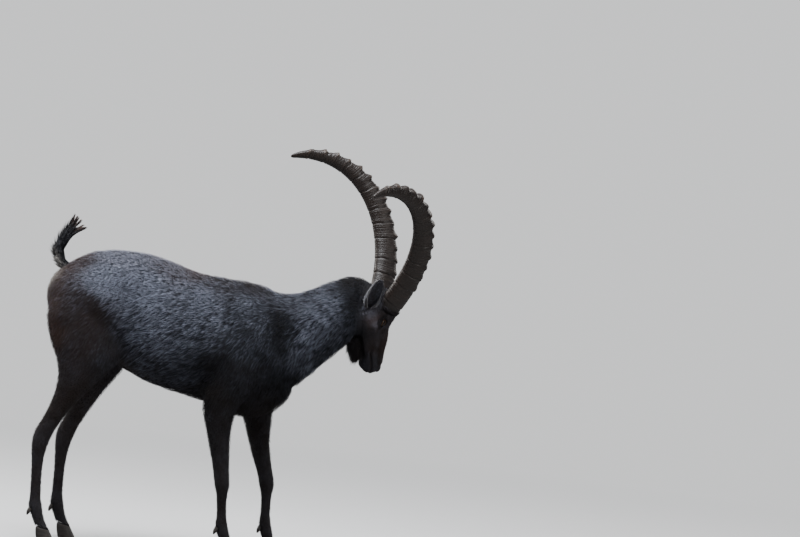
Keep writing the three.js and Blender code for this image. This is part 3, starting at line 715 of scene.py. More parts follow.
def coat_group():
    """Hair colour from the markings (tone with its painted light and shade, rust, white) and the place
    along the hair, darker towards the root, partly the hair's own darker base and partly painted shade.
    """
    existing = bpy.data.node_groups.get("hair colour")
    if existing:
        return existing
    look = settings("coat")
    group = bpy.data.node_groups.new("hair colour", "ShaderNodeTree")
    usual = {"Tone": 0.5, "Rust": 0.0, "White": 0.0, "Along": 0.5, "Random": 0.5, "Uneven": 0.5}
    for label, value in usual.items():
        socket = group.interface.new_socket(label, in_out="INPUT", socket_type="NodeSocketFloat")
        socket.default_value = value
    group.interface.new_socket("Colour", in_out="OUTPUT", socket_type="NodeSocketColor")
    w = Wiring(group)
    given = group.nodes.new("NodeGroupInput").outputs
    out = group.nodes.new("NodeGroupOutput").inputs[0]
    uneven = w.spread(given["Uneven"], 0.25, 0.75, -0.1, 0.1)
    single = w.spread(given["Random"], 0.0, 1.0, -0.52, 0.52)
    share = w.spread(given["Tone"], 0.0, 0.7, 0.16, 1.0)
    tone = w.math("ADD", w.math("ADD", given["Tone"], uneven), w.math("MULTIPLY", single, share))
    lower = w.spread(tone, 0.0, 0.5)
    upper = w.spread(tone, 0.45, 1.0)
    tip = w.mix(upper, w.mix(lower, look.dark, look.grey), look.pale)
    tip = w.mix(w.math("MULTIPLY", given["Rust"], 0.85), tip, look.rust)
    tip = w.mix(given["White"], tip, look.white)
    shade = w.spread(given["Along"], 0.05, 0.9, 0.16, 1.2)
    root = w.node("CombineColor")
    for slot in range(3):
        w.join(shade, root.inputs[slot])
    w.join(w.mix(1.0, tip, root.outputs[0], "MULTIPLY"), out)
    return group


def hair_colour(w, tone, rust, white, along, random):
    """The shared hair colour for a point's marking, with its painted light and shade, and its place along
    the hair.
    """
    colour = w.node("Group", node_tree=coat_group())
    uneven = w.noise(w.place(), 26.0)
    for slot, source in enumerate((tone, rust, white, along, random, uneven)):
        w.join(source, colour.inputs[slot])
    return colour.outputs[0]


def hair_material(name):
    """Hair that reads its marking, with painted light and shade, from one attribute and its place along the
    tuft from another.
    """
    material, w, shader = new_material(name, 0.5, 0.22)
    tone, rust, white, _ = w.parts("marking_and_painted_light")
    along, random, _, _ = w.parts("strand")
    w.join(hair_colour(w, tone, rust, white, along, random), shader.inputs["Base Color"])
    w.join(w.spread(random, 0.0, 1.0, 0.42, 0.6), shader.inputs["Roughness"])
    return material


def skin_material(name):
    """Short hair on the skin: the coat's colours, with fine streaks as bump and as painted root shade, and
    dark bare skin.
    """
    material, w, shader = new_material(name, 0.62, 0.2)
    tone, rust, white, haired_share = w.parts("marking_and_painted_light")
    fine = w.noise(w.place(), 900.0, 2.0)
    along = w.spread(fine, 0.3, 0.7, 0.25, 0.85)
    colour = hair_colour(w, tone, rust, white, along, w.noise(w.place(), 420.0, 1.0))
    w.join(w.mix(haired_share, (0.012, 0.009, 0.008), colour), shader.inputs["Base Color"])
    w.bump(w.math("ADD", fine, w.noise(w.place(), 300.0, 2.0)), 0.5, 0.0012, shader)
    return material


def horn_material(name):
    """Ringed horn: dark in the grooves, rubbed pale on the crests, with fibres along it. The pale crests
    are also painted sunlight, faint at the root and full from a third of the way up.
    """
    look = settings("horn")
    material, w, shader = new_material(name, 0.38, 0.5)
    worn, sunlit, root, _ = w.parts("wear")
    around = w.node("UVMap", uv_map="OFBake").outputs[0]
    fibre = w.noise(w.stretched(around, (70.0, 9.0, 1.0)), 1.0, 5.0, 0.65)
    band = w.noise(w.stretched(around, (3.0, 420.0, 1.0)), 1.0, 3.0, 0.6)
    uneven = w.noise(w.place(), 34.0, 4.0)
    crest = w.spread(w.math("ADD", worn, w.math("MULTIPLY", fibre, 0.9)), 0.82, 1.4)
    crest = w.math("MULTIPLY", crest, w.spread(uneven, 0.35, 0.68, 0.15, 1.0))
    crest = w.math("MULTIPLY", crest, sunlit)
    base = w.mix(w.spread(band, 0.35, 0.65), [part * 0.25 for part in look.brown], look.brown)
    base = w.mix(w.math("MULTIPLY", crest, 0.85), base, look.worn)
    base = w.mix(w.math("MULTIPLY", root, 0.8), base, (0.008, 0.006, 0.005))
    w.join(base, shader.inputs["Base Color"])
    w.join(w.spread(fibre, 0.3, 0.7, 0.3, 0.52), shader.inputs["Roughness"])
    height = w.math("ADD", w.math("MULTIPLY", band, 0.8), w.math("MULTIPLY", fibre, 0.6))
    w.bump(height, 0.6, 0.0012, shader)
    return material


def hoof_material(name):
    """Dark claw horn with level growth lines and a little dust."""
    material, w, shader = new_material(name, 0.45, 0.4)
    lines = w.noise(w.stretched(w.place(), (40.0, 40.0, 620.0)), 1.0)
    dust = w.noise(w.place(), 60.0, 4.0)
    colour = w.mix(w.spread(lines, 0.3, 0.7), (0.012, 0.010, 0.009), (0.045, 0.036, 0.03))
    colour = w.mix(w.spread(dust, 0.55, 0.8, 0.0, 0.35), colour, (0.15, 0.12, 0.095))
    w.join(colour, shader.inputs["Base Color"])
    w.join(w.spread(dust, 0.3, 0.7, 0.38, 0.7), shader.inputs["Roughness"])
    w.bump(lines, 0.5, 0.0008, shader)
    return material


def eye_material(name):
    """Amber iris with a level dark slit, read from an attribute of how far from the gaze a point is."""
    look = settings("eye")
    material, w, shader = new_material(name, 0.15, 0.08)
    for socket, value in (("Coat Weight", 0.5), ("Coat Roughness", 0.08), ("Coat IOR", 1.34)):
        shader.inputs[socket].default_value = value
    from_gaze, slit, _, _ = w.parts("iris")
    spokes = w.noise(w.place(), 900.0)
    iris = w.mix(w.spread(spokes, 0.3, 0.7), [part * 0.45 for part in look.iris], look.iris)
    rim = w.mix(w.spread(from_gaze, 0.72, 0.98), iris, (0.02, 0.012, 0.008))
    white = w.mix(w.spread(from_gaze, 0.98, 1.05), rim, (0.055, 0.035, 0.028))
    w.join(w.mix(w.spread(slit, 0.4, 0.6), white, (0.002, 0.002, 0.003)), shader.inputs["Base Color"])
    return material


# The coat's fields over the body
def guided(points, guides, outwards):
    """Lie, length, tone and rust at points, each blended from the guides nearest to it."""
    at, lie = (np.array([row[part] for row in guides.values()], float) for part in (0, 1))
    rest = np.array([row[2:] for row in guides.values()], float)
    apart = ((folded(points)[:, None, :] - at[None, :, :]) ** 2).sum(axis=2)
    weight = 1 / (apart + 500.0) ** 2
    weight /= weight.sum(axis=1, keepdims=True)
    flow = weight @ lie
    flow[:, 1] *= outwards
    return flow, weight @ rest


def patch(points, reach, start, end=None):
    """1 at a place or along a line, and at its mirror image, falling away over a reach."""
    start = np.array(start, float)
    along = np.zeros(3) if end is None else end - start
    off = folded(points) - start
    share = np.clip(off @ along / max(along @ along, 1e-9), 0, 1)
    return np.exp(-((off - share[:, None] * along) ** 2).sum(axis=1) / reach**2)


def relief(points, forms):
    """The sum of a table's forms at each point."""
    total = np.zeros(len(points))
    for amount, reach, *where in forms.values():
        total += amount * patch(points, reach, *where)
    return total


def coat_fields(points, near_head):
    """The lie of the hair (unit, not yet flat to the skin), length in mm, tone with its painted light and
    shade, rust and white.
    """
    body = to_body(points)
    head = to_head(points)
    flow, rest = guided(body, BODY_GUIDES, np.sign(body[:, 1]))
    head_flow, head_rest = guided(head, HEAD_GUIDES, np.sign(head[:, 1]))
    share = near_head[:, None]
    flow = unit(flow) * (1 - share) + unit(head_flow @ HEAD_TURN.T) * share
    rest = rest * (1 - share) + head_rest * share
    length, tone, rust = rest.T.copy()
    # The face's own pale patches, and painted light and shade from its relief: ridges lighter, grooves and
    # nostrils darker
    tone += relief(head, HEAD_TONES) + 0.034 * near_head * relief(head, FACE_LINES)
    # Painted shade in the body's creases and painted light on the shoulder's crest and the neck's side,
    # with tone that differs at random
    tone += relief(body, BODY_PAINTED_LIGHT_AND_SHADE) + 0.07 * ripple(body, 210, 5) * (1 - near_head)
    rust += relief(head, HEAD_RUST) + relief(body, BODY_RUST)
    flow, length = meet_horns(points, flow, length, near_head)
    length = meet_hooves(points, body, length)
    under = ease(-body[:, 2], -512, -470) * ease(-np.abs(body[:, 1]), -60, -25)
    white = relief(body, WHITES) + 0.55 * under * patch(body, 130, (-380, 0, 520))
    return unit(flow), length, np.clip(tone, 0, 1), np.clip(rust, 0, 1), np.clip(white, 0, 1)


def meet_horns(points, flow, length, near_head):
    """Hair beside a horn turned up along it, so that its tips close over the horn's base."""
    near = nearness(["horn_left", "horn_right"], points, 0.013, 0.004) * near_head
    lean = math.radians(HORN_LEAN)
    up = np.array((-math.sin(lean), 0.0, math.cos(lean))) @ HEAD_TURN.T
    flow = unit(unit(flow) * (1 - near)[:, None] + up * near[:, None])
    return flow, length + (14 - length) * near


def meet_hooves(points, body, length):
    """Longer hair just above the claws, that falls over their upper edge."""
    low = np.flatnonzero(body[:, 2] < 90)
    claws = [f"{leg}_claw_{side}" for leg in LEGS for side in SIDES]
    near = nearness(claws, points[low], 0.014, 0.003)
    length[low] += (12 - length[low]) * near
    return length


def nearness(names, points, far, near):
    """1 where a point is nearer to some of the solids than one distance, 0 beyond another."""
    bm = bmesh.new()
    for name in names:
        bm.from_mesh(NODES[name].data)
    tree = BVHTree.FromBMesh(bm)
    bm.free()
    low = np.min([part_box(name)[0] for name in names], axis=0) - NEAR
    high = np.max([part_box(name)[1] for name in names], axis=0) + NEAR
    found = np.full(len(points), NEAR)
    for index in np.flatnonzero(((points > low) & (points < high)).all(axis=1)):
        distance = tree.find_nearest(points[index], NEAR)[3]
        if distance is not None:
            found[index] = distance
    return ease(-found, -far, -near)


# Skin
FLESH = (
    ["torso", "neck", "head"]
    + [f"{leg}_{part}" for leg in LEGS for part in ("cannon", "pastern")]
    + [f"fore_{side}_forearm" for side in SIDES]
    + [f"hind_{side}_thigh" for side in SIDES]
)


def skin_softness(points, near_head):
    """How much the solids' facets are smoothed: most on the trunk, little on the legs and head."""
    body = to_body(points)
    legs = ease(body[:, 2], 330, 560)
    return (0.1 + 0.9 * legs) * (1 - near_head) + 0.006 * near_head


def swell(points, near_head):
    """The body's swellings and hollows, in mm along the skin's normal."""
    body = to_body(points)
    rise = relief(body, BODY_FORMS)
    ribs = patch(body, 120, (-250, 160, 700))
    rise += 1.2 * ribs * np.sin((body[:, 0] + 0.3 * body[:, 2]) / 38 * 2 * math.pi)
    return rise * (1 - near_head)


def eye_frame(side):
    """The eye's centre and gaze, the level towards the nose and the rise, in the head's frame."""
    gaze = unit(mirrored(GAZE, side))
    level = unit(np.cross(gaze, (0, 0, side)))
    rise = unit(np.cross(level, gaze)) * side
    dip = math.radians(SLIT_TURN)
    turned_level = level * math.cos(dip) - rise * math.sin(dip)
    turned_rise = rise * math.cos(dip) + level * math.sin(dip)
    return mirrored(EYE_CENTRE, side), gaze, turned_level, turned_rise


def lid_edge(turn):
    """The edge of the eye's opening at a turn around it: forwards and up from its middle, in mm."""
    x, y = np.cos(turn), np.sin(turn)
    wide, tall = OPENING
    corner = np.abs(x) ** 3
    front = corner * (x > 0)
    along = x * wide + 2.6 * front
    across = y * tall * np.where(y > 0, 0.95, 0.78) * (1 - 0.25 * corner) - 1.4 * front
    return along, across


def orbit_height(distance):
    """How far the eye's globe, and the level skin beyond it, stand out at a distance from the gaze."""
    flat = np.minimum(0.86, distance / EYE_RADIUS)
    return EYE_RADIUS * np.sqrt(1 - flat**2)


def lid_spread(along, across):
    """How far outside the eye's opening a place is, in mm."""
    wide, tall = OPENING
    turn = np.arctan2(across / tall, along / wide)
    return np.hypot(along, across) - np.hypot(*lid_edge(turn))


def seat_eyes(head):
    """The skin around each eye laid on the globe, so that the lids stand out from it."""
    for side in (-1, 1):
        centre, gaze, level, rise = eye_frame(side)
        off = head - centre
        along, across, out = off @ level, off @ rise, off @ gaze
        spread = lid_spread(along, across)
        below = np.interp(spread, (-3, 0, 3, 9), (-2.6, -0.8, 0.1, 0.3))
        goal = orbit_height(np.hypot(along, across)) + below
        above = ease(across, 0, 6)
        share = ease(-spread, -15, -8) * (1 - above) + ease(-spread, -11, -5) * above
        share = share * ease(out, -2, 4) * (np.abs(out) < 30)
        head = head + gaze * ((goal - out) * share)[:, None]
    return head


def off_mouth(head):
    return head[:, 2] - np.interp(head[:, 0], MOUTH_AT, MOUTH_LEVEL)


def sculpt_head(points, normal, near_head):
    """The face's bones, muscles and folds, the nostrils and the lips, as new places of the skin."""
    head = to_head(points)
    rise = relief(head, FACE_LINES)
    lip = off_mouth(head)
    side_on = ease(head[:, 0], 93, 103) * ease(np.abs(head[:, 1]), 2, 9)
    rise -= 3.4 * np.exp(-(lip**2) / 2.3**2) * side_on
    rise += 1.5 * np.exp(-((np.abs(lip) - 6) ** 2) / 3.4**2) * side_on
    wrinkle = np.sin(np.hypot(head[:, 0] + 3, head[:, 2] + 7) / 4.6 * 2 * math.pi)
    rise += 0.5 * wrinkle * patch(head, 15, (16, 46, -30))
    rise += 0.45 * np.sin(head[:, 0] / 6.2 * 2 * math.pi) * patch(head, 16, (112, 34, -14))
    moved = points + normal * (rise * near_head)[:, None] * MM
    seated = from_head(seat_eyes(to_head(moved)))
    return moved + (seated - moved) * ease(near_head, 0.2, 0.6)[:, None]


def haired(points):
    """1 where hair grows, 0 on the bare skin of the nostrils, the lips' edges and the eyes' openings."""
    head = to_head(points)
    bare = 1.5 * patch(head, 4.6, *FACE_LINES["nostril"][2:])
    bare += np.exp(-(off_mouth(head) ** 2) / 2.4**2) * ease(head[:, 0], 96, 108) * (head[:, 0] < 190)
    for side in (-1, 1):
        centre, gaze, level, rise = eye_frame(side)
        off = head - centre
        spread = lid_spread(off @ level, off @ rise)
        bare += ease(-spread, -7.5, -5.5) * (off @ gaze > 0) * (np.linalg.norm(off, axis=1) < 32)
    near = (head[:, 0] > -40) & (head[:, 0] < 190) & (np.abs(head[:, 1]) < 75) & (np.abs(head[:, 2]) < 60)
    return 1 - np.clip(bare, 0, 1) * near


def refine_face(mesh, near_head):
    """Smaller faces on the face, for its folds."""
    chosen = (near_head > 0.5) & (to_head(places(mesh))[:, 0] > -34)
    with edited(mesh) as bm:
        edges = [edge for edge in bm.edges if chosen[edge.verts[0].index] and chosen[edge.verts[1].index]]
        bmesh.ops.subdivide_edges(bm, edges=edges, cuts=1, use_grid_fill=True)


def merge_solids(grain):
    """One closed mesh around the solids of flesh and the eyes."""
    skin = copied([*FLESH, "eye_left", "eye_right"], "skin")
    remesh = skin.modifiers.new("even", "REMESH")
    remesh.mode = "VOXEL"
    remesh.voxel_size = grain
    return finished(skin)


def smooth_facets(skin, near_head, steps=20):
    """The solids' flat facets smoothed away, by a share in steps that suits each part."""
    group = skin.vertex_groups.new(name="soft")
    level = np.round(skin_softness(places(skin.data), near_head) * steps).astype(int)
    for step in range(1, steps + 1):
        chosen = np.flatnonzero(level == step)
        if len(chosen):
            group.add(chosen.tolist(), step / steps, "REPLACE")
    smooth = skin.modifiers.new("smooth", "SMOOTH")
    smooth.factor = 0.8
    smooth.iterations = 90
    smooth.vertex_group = "soft"
    finished(skin)
    skin.vertex_groups.clear()


def shape_skin(mesh, near_head, depth):
    """The skin swollen to the body's forms, set in by the coat's depth, and its face modelled."""
    points, normal = places(mesh), normals(mesh)
    points += normal * (swell(points, near_head) * MM)[:, None]
    length = coat_fields(points, near_head)[1]
    points -= normal * (length * depth * MM)[:, None]
    set_places(mesh, points)
    refine_face(mesh, near_head)
    points = places(mesh)
    near_head = nearness(["head"], points, 0.012, 0.003)
    set_places(mesh, sculpt_head(points, normals(mesh), near_head))
    return near_head


def thin_skin(skin, near_head, faces):
    """Fewer triangles, with more of them kept on the head."""
    thin = skin.modifiers.new("thin", "DECIMATE")
    count = sum(len(face.vertices) - 2 for face in skin.data.polygons)
    thin.ratio = min(1.0, faces / count)
    weights = skin.vertex_groups.new(name="head")
    weights.add(np.flatnonzero(near_head > 0.5).tolist(), 0.8, "REPLACE")
    thin.vertex_group = "head"
    thin.invert_vertex_group = True
    thin.vertex_group_factor = 6.0
    finished(skin)
    skin.vertex_groups.clear()
    with edited(skin.data) as bm:
        bmesh.ops.triangulate(bm, faces=bm.faces)
    skin.data.shade_smooth()


def mark_skin(mesh):
    """The markings with their painted light and shade, the lie and the length of the hair, stored on the
    skin for its tufts.
    """
    points = places(mesh)
    near_head = nearness(["head"], points, 0.016, 0.005)
    lie, length, tone, rust, white = coat_fields(points, near_head)
    set_colour(mesh, "marking_and_painted_light", columns(tone, rust, white, haired(points)))
    layer = mesh.attributes.new("lie", "FLOAT_VECTOR", "POINT")
    layer.data.foreach_set("vector", lie.astype(np.float32).ravel())
    layer = mesh.attributes.new("hair_length", "FLOAT", "POINT")
    layer.data.foreach_set("value", length.astype(np.float32))


class IBEX_OT_skin(bpy.types.Operator):
    """Make one skin from the solids of flesh, set in by the depth of the coat"""

    bl_idname = "ibex.skin"
    bl_label = "Skin"

    def execute(self, context):
        look = settings("skin")
        skin = merge_solids(look.grain)
        near_head = nearness(["head"], places(skin.data), 0.012, 0.001)
        smooth_facets(skin, near_head)
        near_head = shape_skin(skin.data, near_head, look.depth)
        thin_skin(skin, near_head, look.faces)
        mark_skin(skin.data)
        skin.data.materials.append(material_of("short hair", skin_material))
        kept(skin, "coat", *FLESH)
        return {"FINISHED"}


# Tufts: closed three-sided tapered blades, made as arrays
def blades(name, slot, root, tips, across, outward, width, spot, marking_and_painted_light, random, flat=0.4):
    """One mesh of tufts. tips is a list of the rings' centres after the root, the last the tip."""
    count = len(root)
    centres = [root, *tips]
    rings = len(centres) - 1
    taper = np.linspace(1.0, 0.5, rings)
    corners = []
    for ring in range(rings):
        half = (width * taper[ring] / 2)[:, None] * across
        lift = (width * flat * taper[ring])[:, None] * outward
        corners += [centres[ring] - half, centres[ring] + half, centres[ring] + lift]
    corners.append(centres[-1])
    points = np.stack(corners, axis=1).reshape(-1, 3)
    per = len(corners)
    sides = ((0, 1), (1, 2), (2, 0))
    pattern = [(0, 1, 2)]
    for low in range(0, per - 4, 3):
        for a, b in sides:
            pattern += [(low + b, low + a, low + 3 + a), (low + b, low + 3 + a, low + 3 + b)]
    pattern += [(per - 4 + b, per - 4 + a, per - 1) for a, b in sides]
    faces = (np.arange(count)[:, None, None] * per + np.array(pattern)[None]).reshape(-1, 3)
    share = np.append(np.repeat(np.arange(rings) / rings, 3), 1.0)
    aside = np.append(np.tile((-0.5, 0.5, 0.0), rings), 0.0)
    uvs = np.repeat(spot, per, axis=0) + PATCH * np.tile(np.column_stack((aside, share - 0.5)), (count, 1))
    obj = from_arrays(name, points, faces, np.clip(uvs, 0, 1))
    set_colour(obj.data, "marking_and_painted_light", np.repeat(marking_and_painted_light, per, axis=0))
    set_colour(obj.data, "strand", columns(np.tile(share, count), np.repeat(random, per)))
    obj.data.materials.append(material_of("coat hair", hair_material))
    return kept(obj, slot)


def region_of(points, near_head):
    """Which coat piece each point belongs to."""
    x, _, z = to_body(points).T
    name = np.full(len(points), "coat_belly", dtype=object)
    name[(z > 560) & (x < -90)] = "coat_ribs"
    name[(z > 600) & (x < -430)] = "coat_rump"
    name[(x >= -90) & (z > 480)] = "coat_shoulders"
    name[(x > 62) & (z > 560)] = "coat_neck"
    name[(z <= 520) & (x > -230)] = "coat_fore_legs"
    name[(z <= 600) & (x < -430)] = "coat_hind_legs"
    name[near_head > 0.5] = "coat_head"
    return name


def unwrapped(mesh):
    """The mesh as an object with a UV for each corner on an unwrap of its own shape."""
    obj = linked("unwrapping", mesh)
    bpy.context.view_layer.objects.active = obj
    obj.select_set(True)
    bpy.ops.object.mode_set(mode="EDIT")
    bpy.ops.mesh.select_all(action="SELECT")
    bpy.ops.uv.smart_project(angle_limit=math.radians(70), island_margin=0.004)
    bpy.ops.object.mode_set(mode="OBJECT")
    obj.select_set(False)
    return obj


def part_of(mesh, chosen):
    """A copy of the mesh with only the chosen faces."""
    part = mesh.copy()
    with edited(part) as bm:
        bm.faces.ensure_lookup_table()
        away = [bm.faces[index] for index in np.flatnonzero(~chosen)]
        bmesh.ops.delete(bm, geom=away, context="FACES")
    return part


def gathered(root, tip, random, strength):
    """Pulls the tips of neighbouring tufts together, as damp or oily hair lies."""
    leaders = np.flatnonzero(random > 0.72)
    tree = KDTree(len(leaders))
    for index, leader in enumerate(leaders):
        tree.insert(root[leader], index)
    tree.balance()
    nearest = np.array([tree.find(point)[1] for point in root])
    goal = tip[leaders[nearest]] - root[leaders[nearest]]
    away = root[leaders[nearest]] - root
    near = np.exp(-(np.linalg.norm(away, axis=1) / 0.009) ** 2)[:, None]
    return tip + (away + goal - (tip - root)) * strength * near, leaders[nearest]


def grow(name, source, count, width, rng):
    """Tufts of one piece over its part of the skin, rooted just under it."""
    mesh = source.data
    corner, loops = triangles(mesh)
    points, normal = places(mesh), normals(mesh)
    lie = read(mesh.attributes["lie"].data, "vector", 3)
    length = read(mesh.attributes["hair_length"].data, "value", 1)[:, 0] * MM
    marking_and_painted_light = read(mesh.color_attributes["marking_and_painted_light"].data, "color", 4)
    uv = read(mesh.uv_layers.active.data, "uv", 2)

    a, b, c = (points[corner[:, k]] for k in range(3))
    area = np.linalg.norm(np.cross(b - a, c - a), axis=1)
    short = length[corner].mean(axis=1)
    bare = marking_and_painted_light[:, 3][corner].mean(axis=1) < 0.6
    weight = np.cumsum(np.where(bare, 0, area * (0.02 / np.maximum(short, 0.003)) ** 0.35))
    pick = np.searchsorted(weight, (np.arange(count) + rng.random(count)) / count * weight[-1])
    pick = np.minimum(pick, len(corner) - 1)
    first, second = rng.random((2, count))
    over = first + second > 1
    first[over], second[over] = 1 - first[over], 1 - second[over]
    shares = np.column_stack((1 - first - second, first, second))[:, :, None]

    def blend(values, index):
        return (values[index[pick]] * shares).sum(axis=1)

    root = blend(points, corner)
    up = unit(blend(normal, corner))
    way = blend(lie, corner)
    long = blend(length[:, None], corner)[:, 0]
    mark = blend(marking_and_painted_light[:, :3], corner)
    place = blend(uv, loops)

    swirl = 0.12 * ripple(root, 0.09, 21) + 0.1 * rng.normal(size=count)
    way = unit(way - up * (way * up).sum(axis=1, keepdims=True))
    side = np.cross(up, way)
    way = unit(way + side * swirl[:, None])
    random = rng.random(count)
    long = long * (0.72 + 0.45 * random) * (1 + 0.12 * ripple(root, 0.05, 22))
    lift = settings("skin").depth * (0.62 + 0.5 * rng.random(count)) * (1 + 0.18 * ripple(root, 0.04, 23))
    run = long[:, None]
    tip = root + way * run * 0.93 + up * run * lift[:, None]
    tip, leader = gathered(root, tip, random, 0.36)
    random = ease(0.5 * rng.random(count)[leader] + 0.5 * random, 0.12, 0.88)
    mid = root + (tip - root) * 0.5 + up * run * 0.09
    sunk = root - up * np.minimum(0.0012, 0.12 * long)[:, None]
    across = unit(np.cross(up, way))
    wide = width * MM * (0.75 + 0.5 * rng.random(count))
    wide = np.minimum(wide, long * 0.3)
    return blades(name, "coat", sunk, [mid, tip], across, up, wide, place, mark, random)


class IBEX_OT_coat(bpy.types.Operator):
    """Cover the skin with tufts that follow the lie of the coat, in pieces"""

    bl_idname = "ibex.coat"
    bl_label = "Coat"

    def execute(self, context):
        mesh = bpy.data.objects["skin"].data
        points = places(mesh)
        a, b, c = (points[column] for column in triangles(mesh)[0].T)
        centre = (a + b + c) / 3
        region = region_of(centre, nearness(["head"], centre, 0.016, 0.005))
        area = np.linalg.norm(np.cross(b - a, c - a), axis=1)
        total = sum(area[region == name].sum() * dense for name, (dense, _) in COAT_PIECES.items())
        rng = np.random.default_rng(7)
        for name, (dense, width) in COAT_PIECES.items():
            chosen = region == name
            share = area[chosen].sum() * dense / total
            count = min(int(settings("coat").tufts * share), MOST_TUFTS)
            source = unwrapped(part_of(mesh, chosen))
            grow(name, source, count, width, rng)
            bpy.data.objects.remove(source)
        return {"FINISHED"}


# Horns
def horn_lines(side):
    """Shares, places, directions and fronts along the horn's middle, in the head's frame."""
    share = np.linspace(0, 1, HORN_RINGS + 1)
    lean = np.radians(HORN_LEAN + HORN_SWEEP[0] * share + HORN_SWEEP[1] * share**2)
    splay = math.radians(HORN_SPLAY)
    along = columns(-np.sin(lean) * math.cos(splay), math.sin(splay), np.cos(lean) * math.cos(splay))
    front = columns(np.cos(lean), 0, np.sin(lean))
    step = HORN_LENGTH / HORN_RINGS
    place = HORN_ROOT + np.vstack((np.zeros(3), np.cumsum((along[1:] + along[:-1]) / 2 * step, axis=0)))
    return share, mirrored(place, side), mirrored(along, side), mirrored(front, side)


def knob_rise(share, side):
    """The knobs' height from 0 to 1, with a steep side towards the root."""
    rise = np.zeros(len(share))
    for knob in range(KNOBS):
        crest = KNOB_FIRST + knob * KNOB_PITCH
        uneven = 1 + 0.16 * math.sin(knob * 2.3 + side)
        off = share - crest
        spread = np.where(off < 0, 0.0075, 0.0165)
        rise = np.maximum(rise, uneven * np.exp(-((off / spread) ** 2)))
    return rise


def ring_lines(share, side):
    """Growth lines as a height in mm: a deep groove for each year and many faint uneven ones."""
    height = np.zeros(len(share))
    for year in range(11):
        groove = 0.045 + 0.086 * year + 0.012 * math.sin(year * 2.1 + side)
        height -= 1.5 * np.exp(-(((share - groove) / 0.0042) ** 2))
        height += 0.5 * np.exp(-(((share - groove - 0.012) / 0.007) ** 2))
    for lines, part in ((151, 0.2), (97, 0.22), (211, 0.1), (63, 0.16)):
        drift = 0.5 * np.sin(share * lines * 0.43 + side) + 0.4 * np.sin(share * 23 + lines)
        height += part * np.sin((share * lines + drift) * 2 * math.pi)
    return height


def signed_power(value, power):
    return np.sign(value) * np.abs(value) ** power


def horn_surface(u, v, side):
    """The horn's point for a share around and a share along, with its wear and its painted sunlight, in the
    head's frame.
    """
    share, place, along, front = horn_lines(side)
    row = np.clip(np.round(v * HORN_RINGS).astype(int), 0, HORN_RINGS)
    share = share[row]
    angle = u * 2 * math.pi
    across, fore = np.sin(angle), np.cos(angle)
    square = np.where(fore > 0, 2.9, 2.2)
    depth = np.interp(share, HORN_SHARE, HORN_DEPTH)
    width = np.interp(share, HORN_SHARE, HORN_WIDTH)
    y = signed_power(across, 2 / square)
    z = signed_power(fore, 2 / square)
    narrow = 1 - 0.25 * np.maximum(0, -z) ** 1.5
    knob = knob_rise(share, side)
    size = (3.5 + 4.5 * ease(share, 0.1, 0.5)) * (1 - 0.45 * ease(share, 0.65, 0.95))
    size = size * settings("horn").knob_rise / USUAL_KNOB_RISE
    lumpy = 1 + 0.25 * np.sin(angle * 3 + share * 40)
    reach = np.where(fore > 0, depth + knob * size * lumpy, depth)
    wavy = 0.008 * np.cos(angle) + 0.0016 * np.sin(angle * 5 + share * 30)
    rings = ring_lines(share + wavy, side) * ease(share, 1.0, 0.93)
    swell = 1 + 0.07 * knob * ease(fore, -0.5, 0.6)
    sideways = unit(np.cross(front, along))[row]
    point = place[row] + sideways * ((width * swell + rings) * y * narrow)[:, None]
    point = point + front[row] * ((reach + rings) * z)[:, None]
    wear = np.clip(0.5 * knob * ease(fore, 0, 0.8) + 0.4 * rings + 0.35 * ease(share, 0.75, 1.0), 0, 1)
    sunlit = 0.25 + 0.75 * ease(share, 0.02, 0.3)
    base = ease(share, 0.07, 0.0)
    return point, columns(wear, sunlit, base, 1)


def horn(side_name):
    bm, u, v = sheet(HORN_AROUND, HORN_RINGS)
    head, wear = horn_surface(u, v, SIDES[side_name])
    layer = bm.loops.layers.uv.new("OFBake")
    for face in bm.faces:
        for loop in face.loops:
            loop[layer].uv = (u[loop.vert.index], v[loop.vert.index])
    laid(bm, from_head(head), "wear", wear)
    obj = tube(bm, "ridged_horn_" + side_name, 2e-6)
    obj.data.materials.append(material_of("ringed horn", horn_material))
    return kept(obj, "horn", "horn_" + side_name)


def leaving_shares(side, around=48, reach=0.24, steps=97):
    """How far along the horn it first stands out of the skin, at turns around it and once more."""
    bm = bmesh.new()
    bm.from_mesh(bpy.data.objects["skin"].data)
    tree = BVHTree.FromBMesh(bm)
    bm.free()
    shares = np.linspace(0, reach, steps)
    found = []
    for turn in range(around):
        line, _ = horn_surface(np.full(steps, turn / around), shares, side)
        outside = reach
        for share, point in zip(shares, from_head(line)):
            hit, normal, _, _ = tree.find_nearest(point)
            if (Vector(point) - hit).dot(normal) > 0:
                outside = share
                break
        found.append(outside)
    return [*found, found[0]]


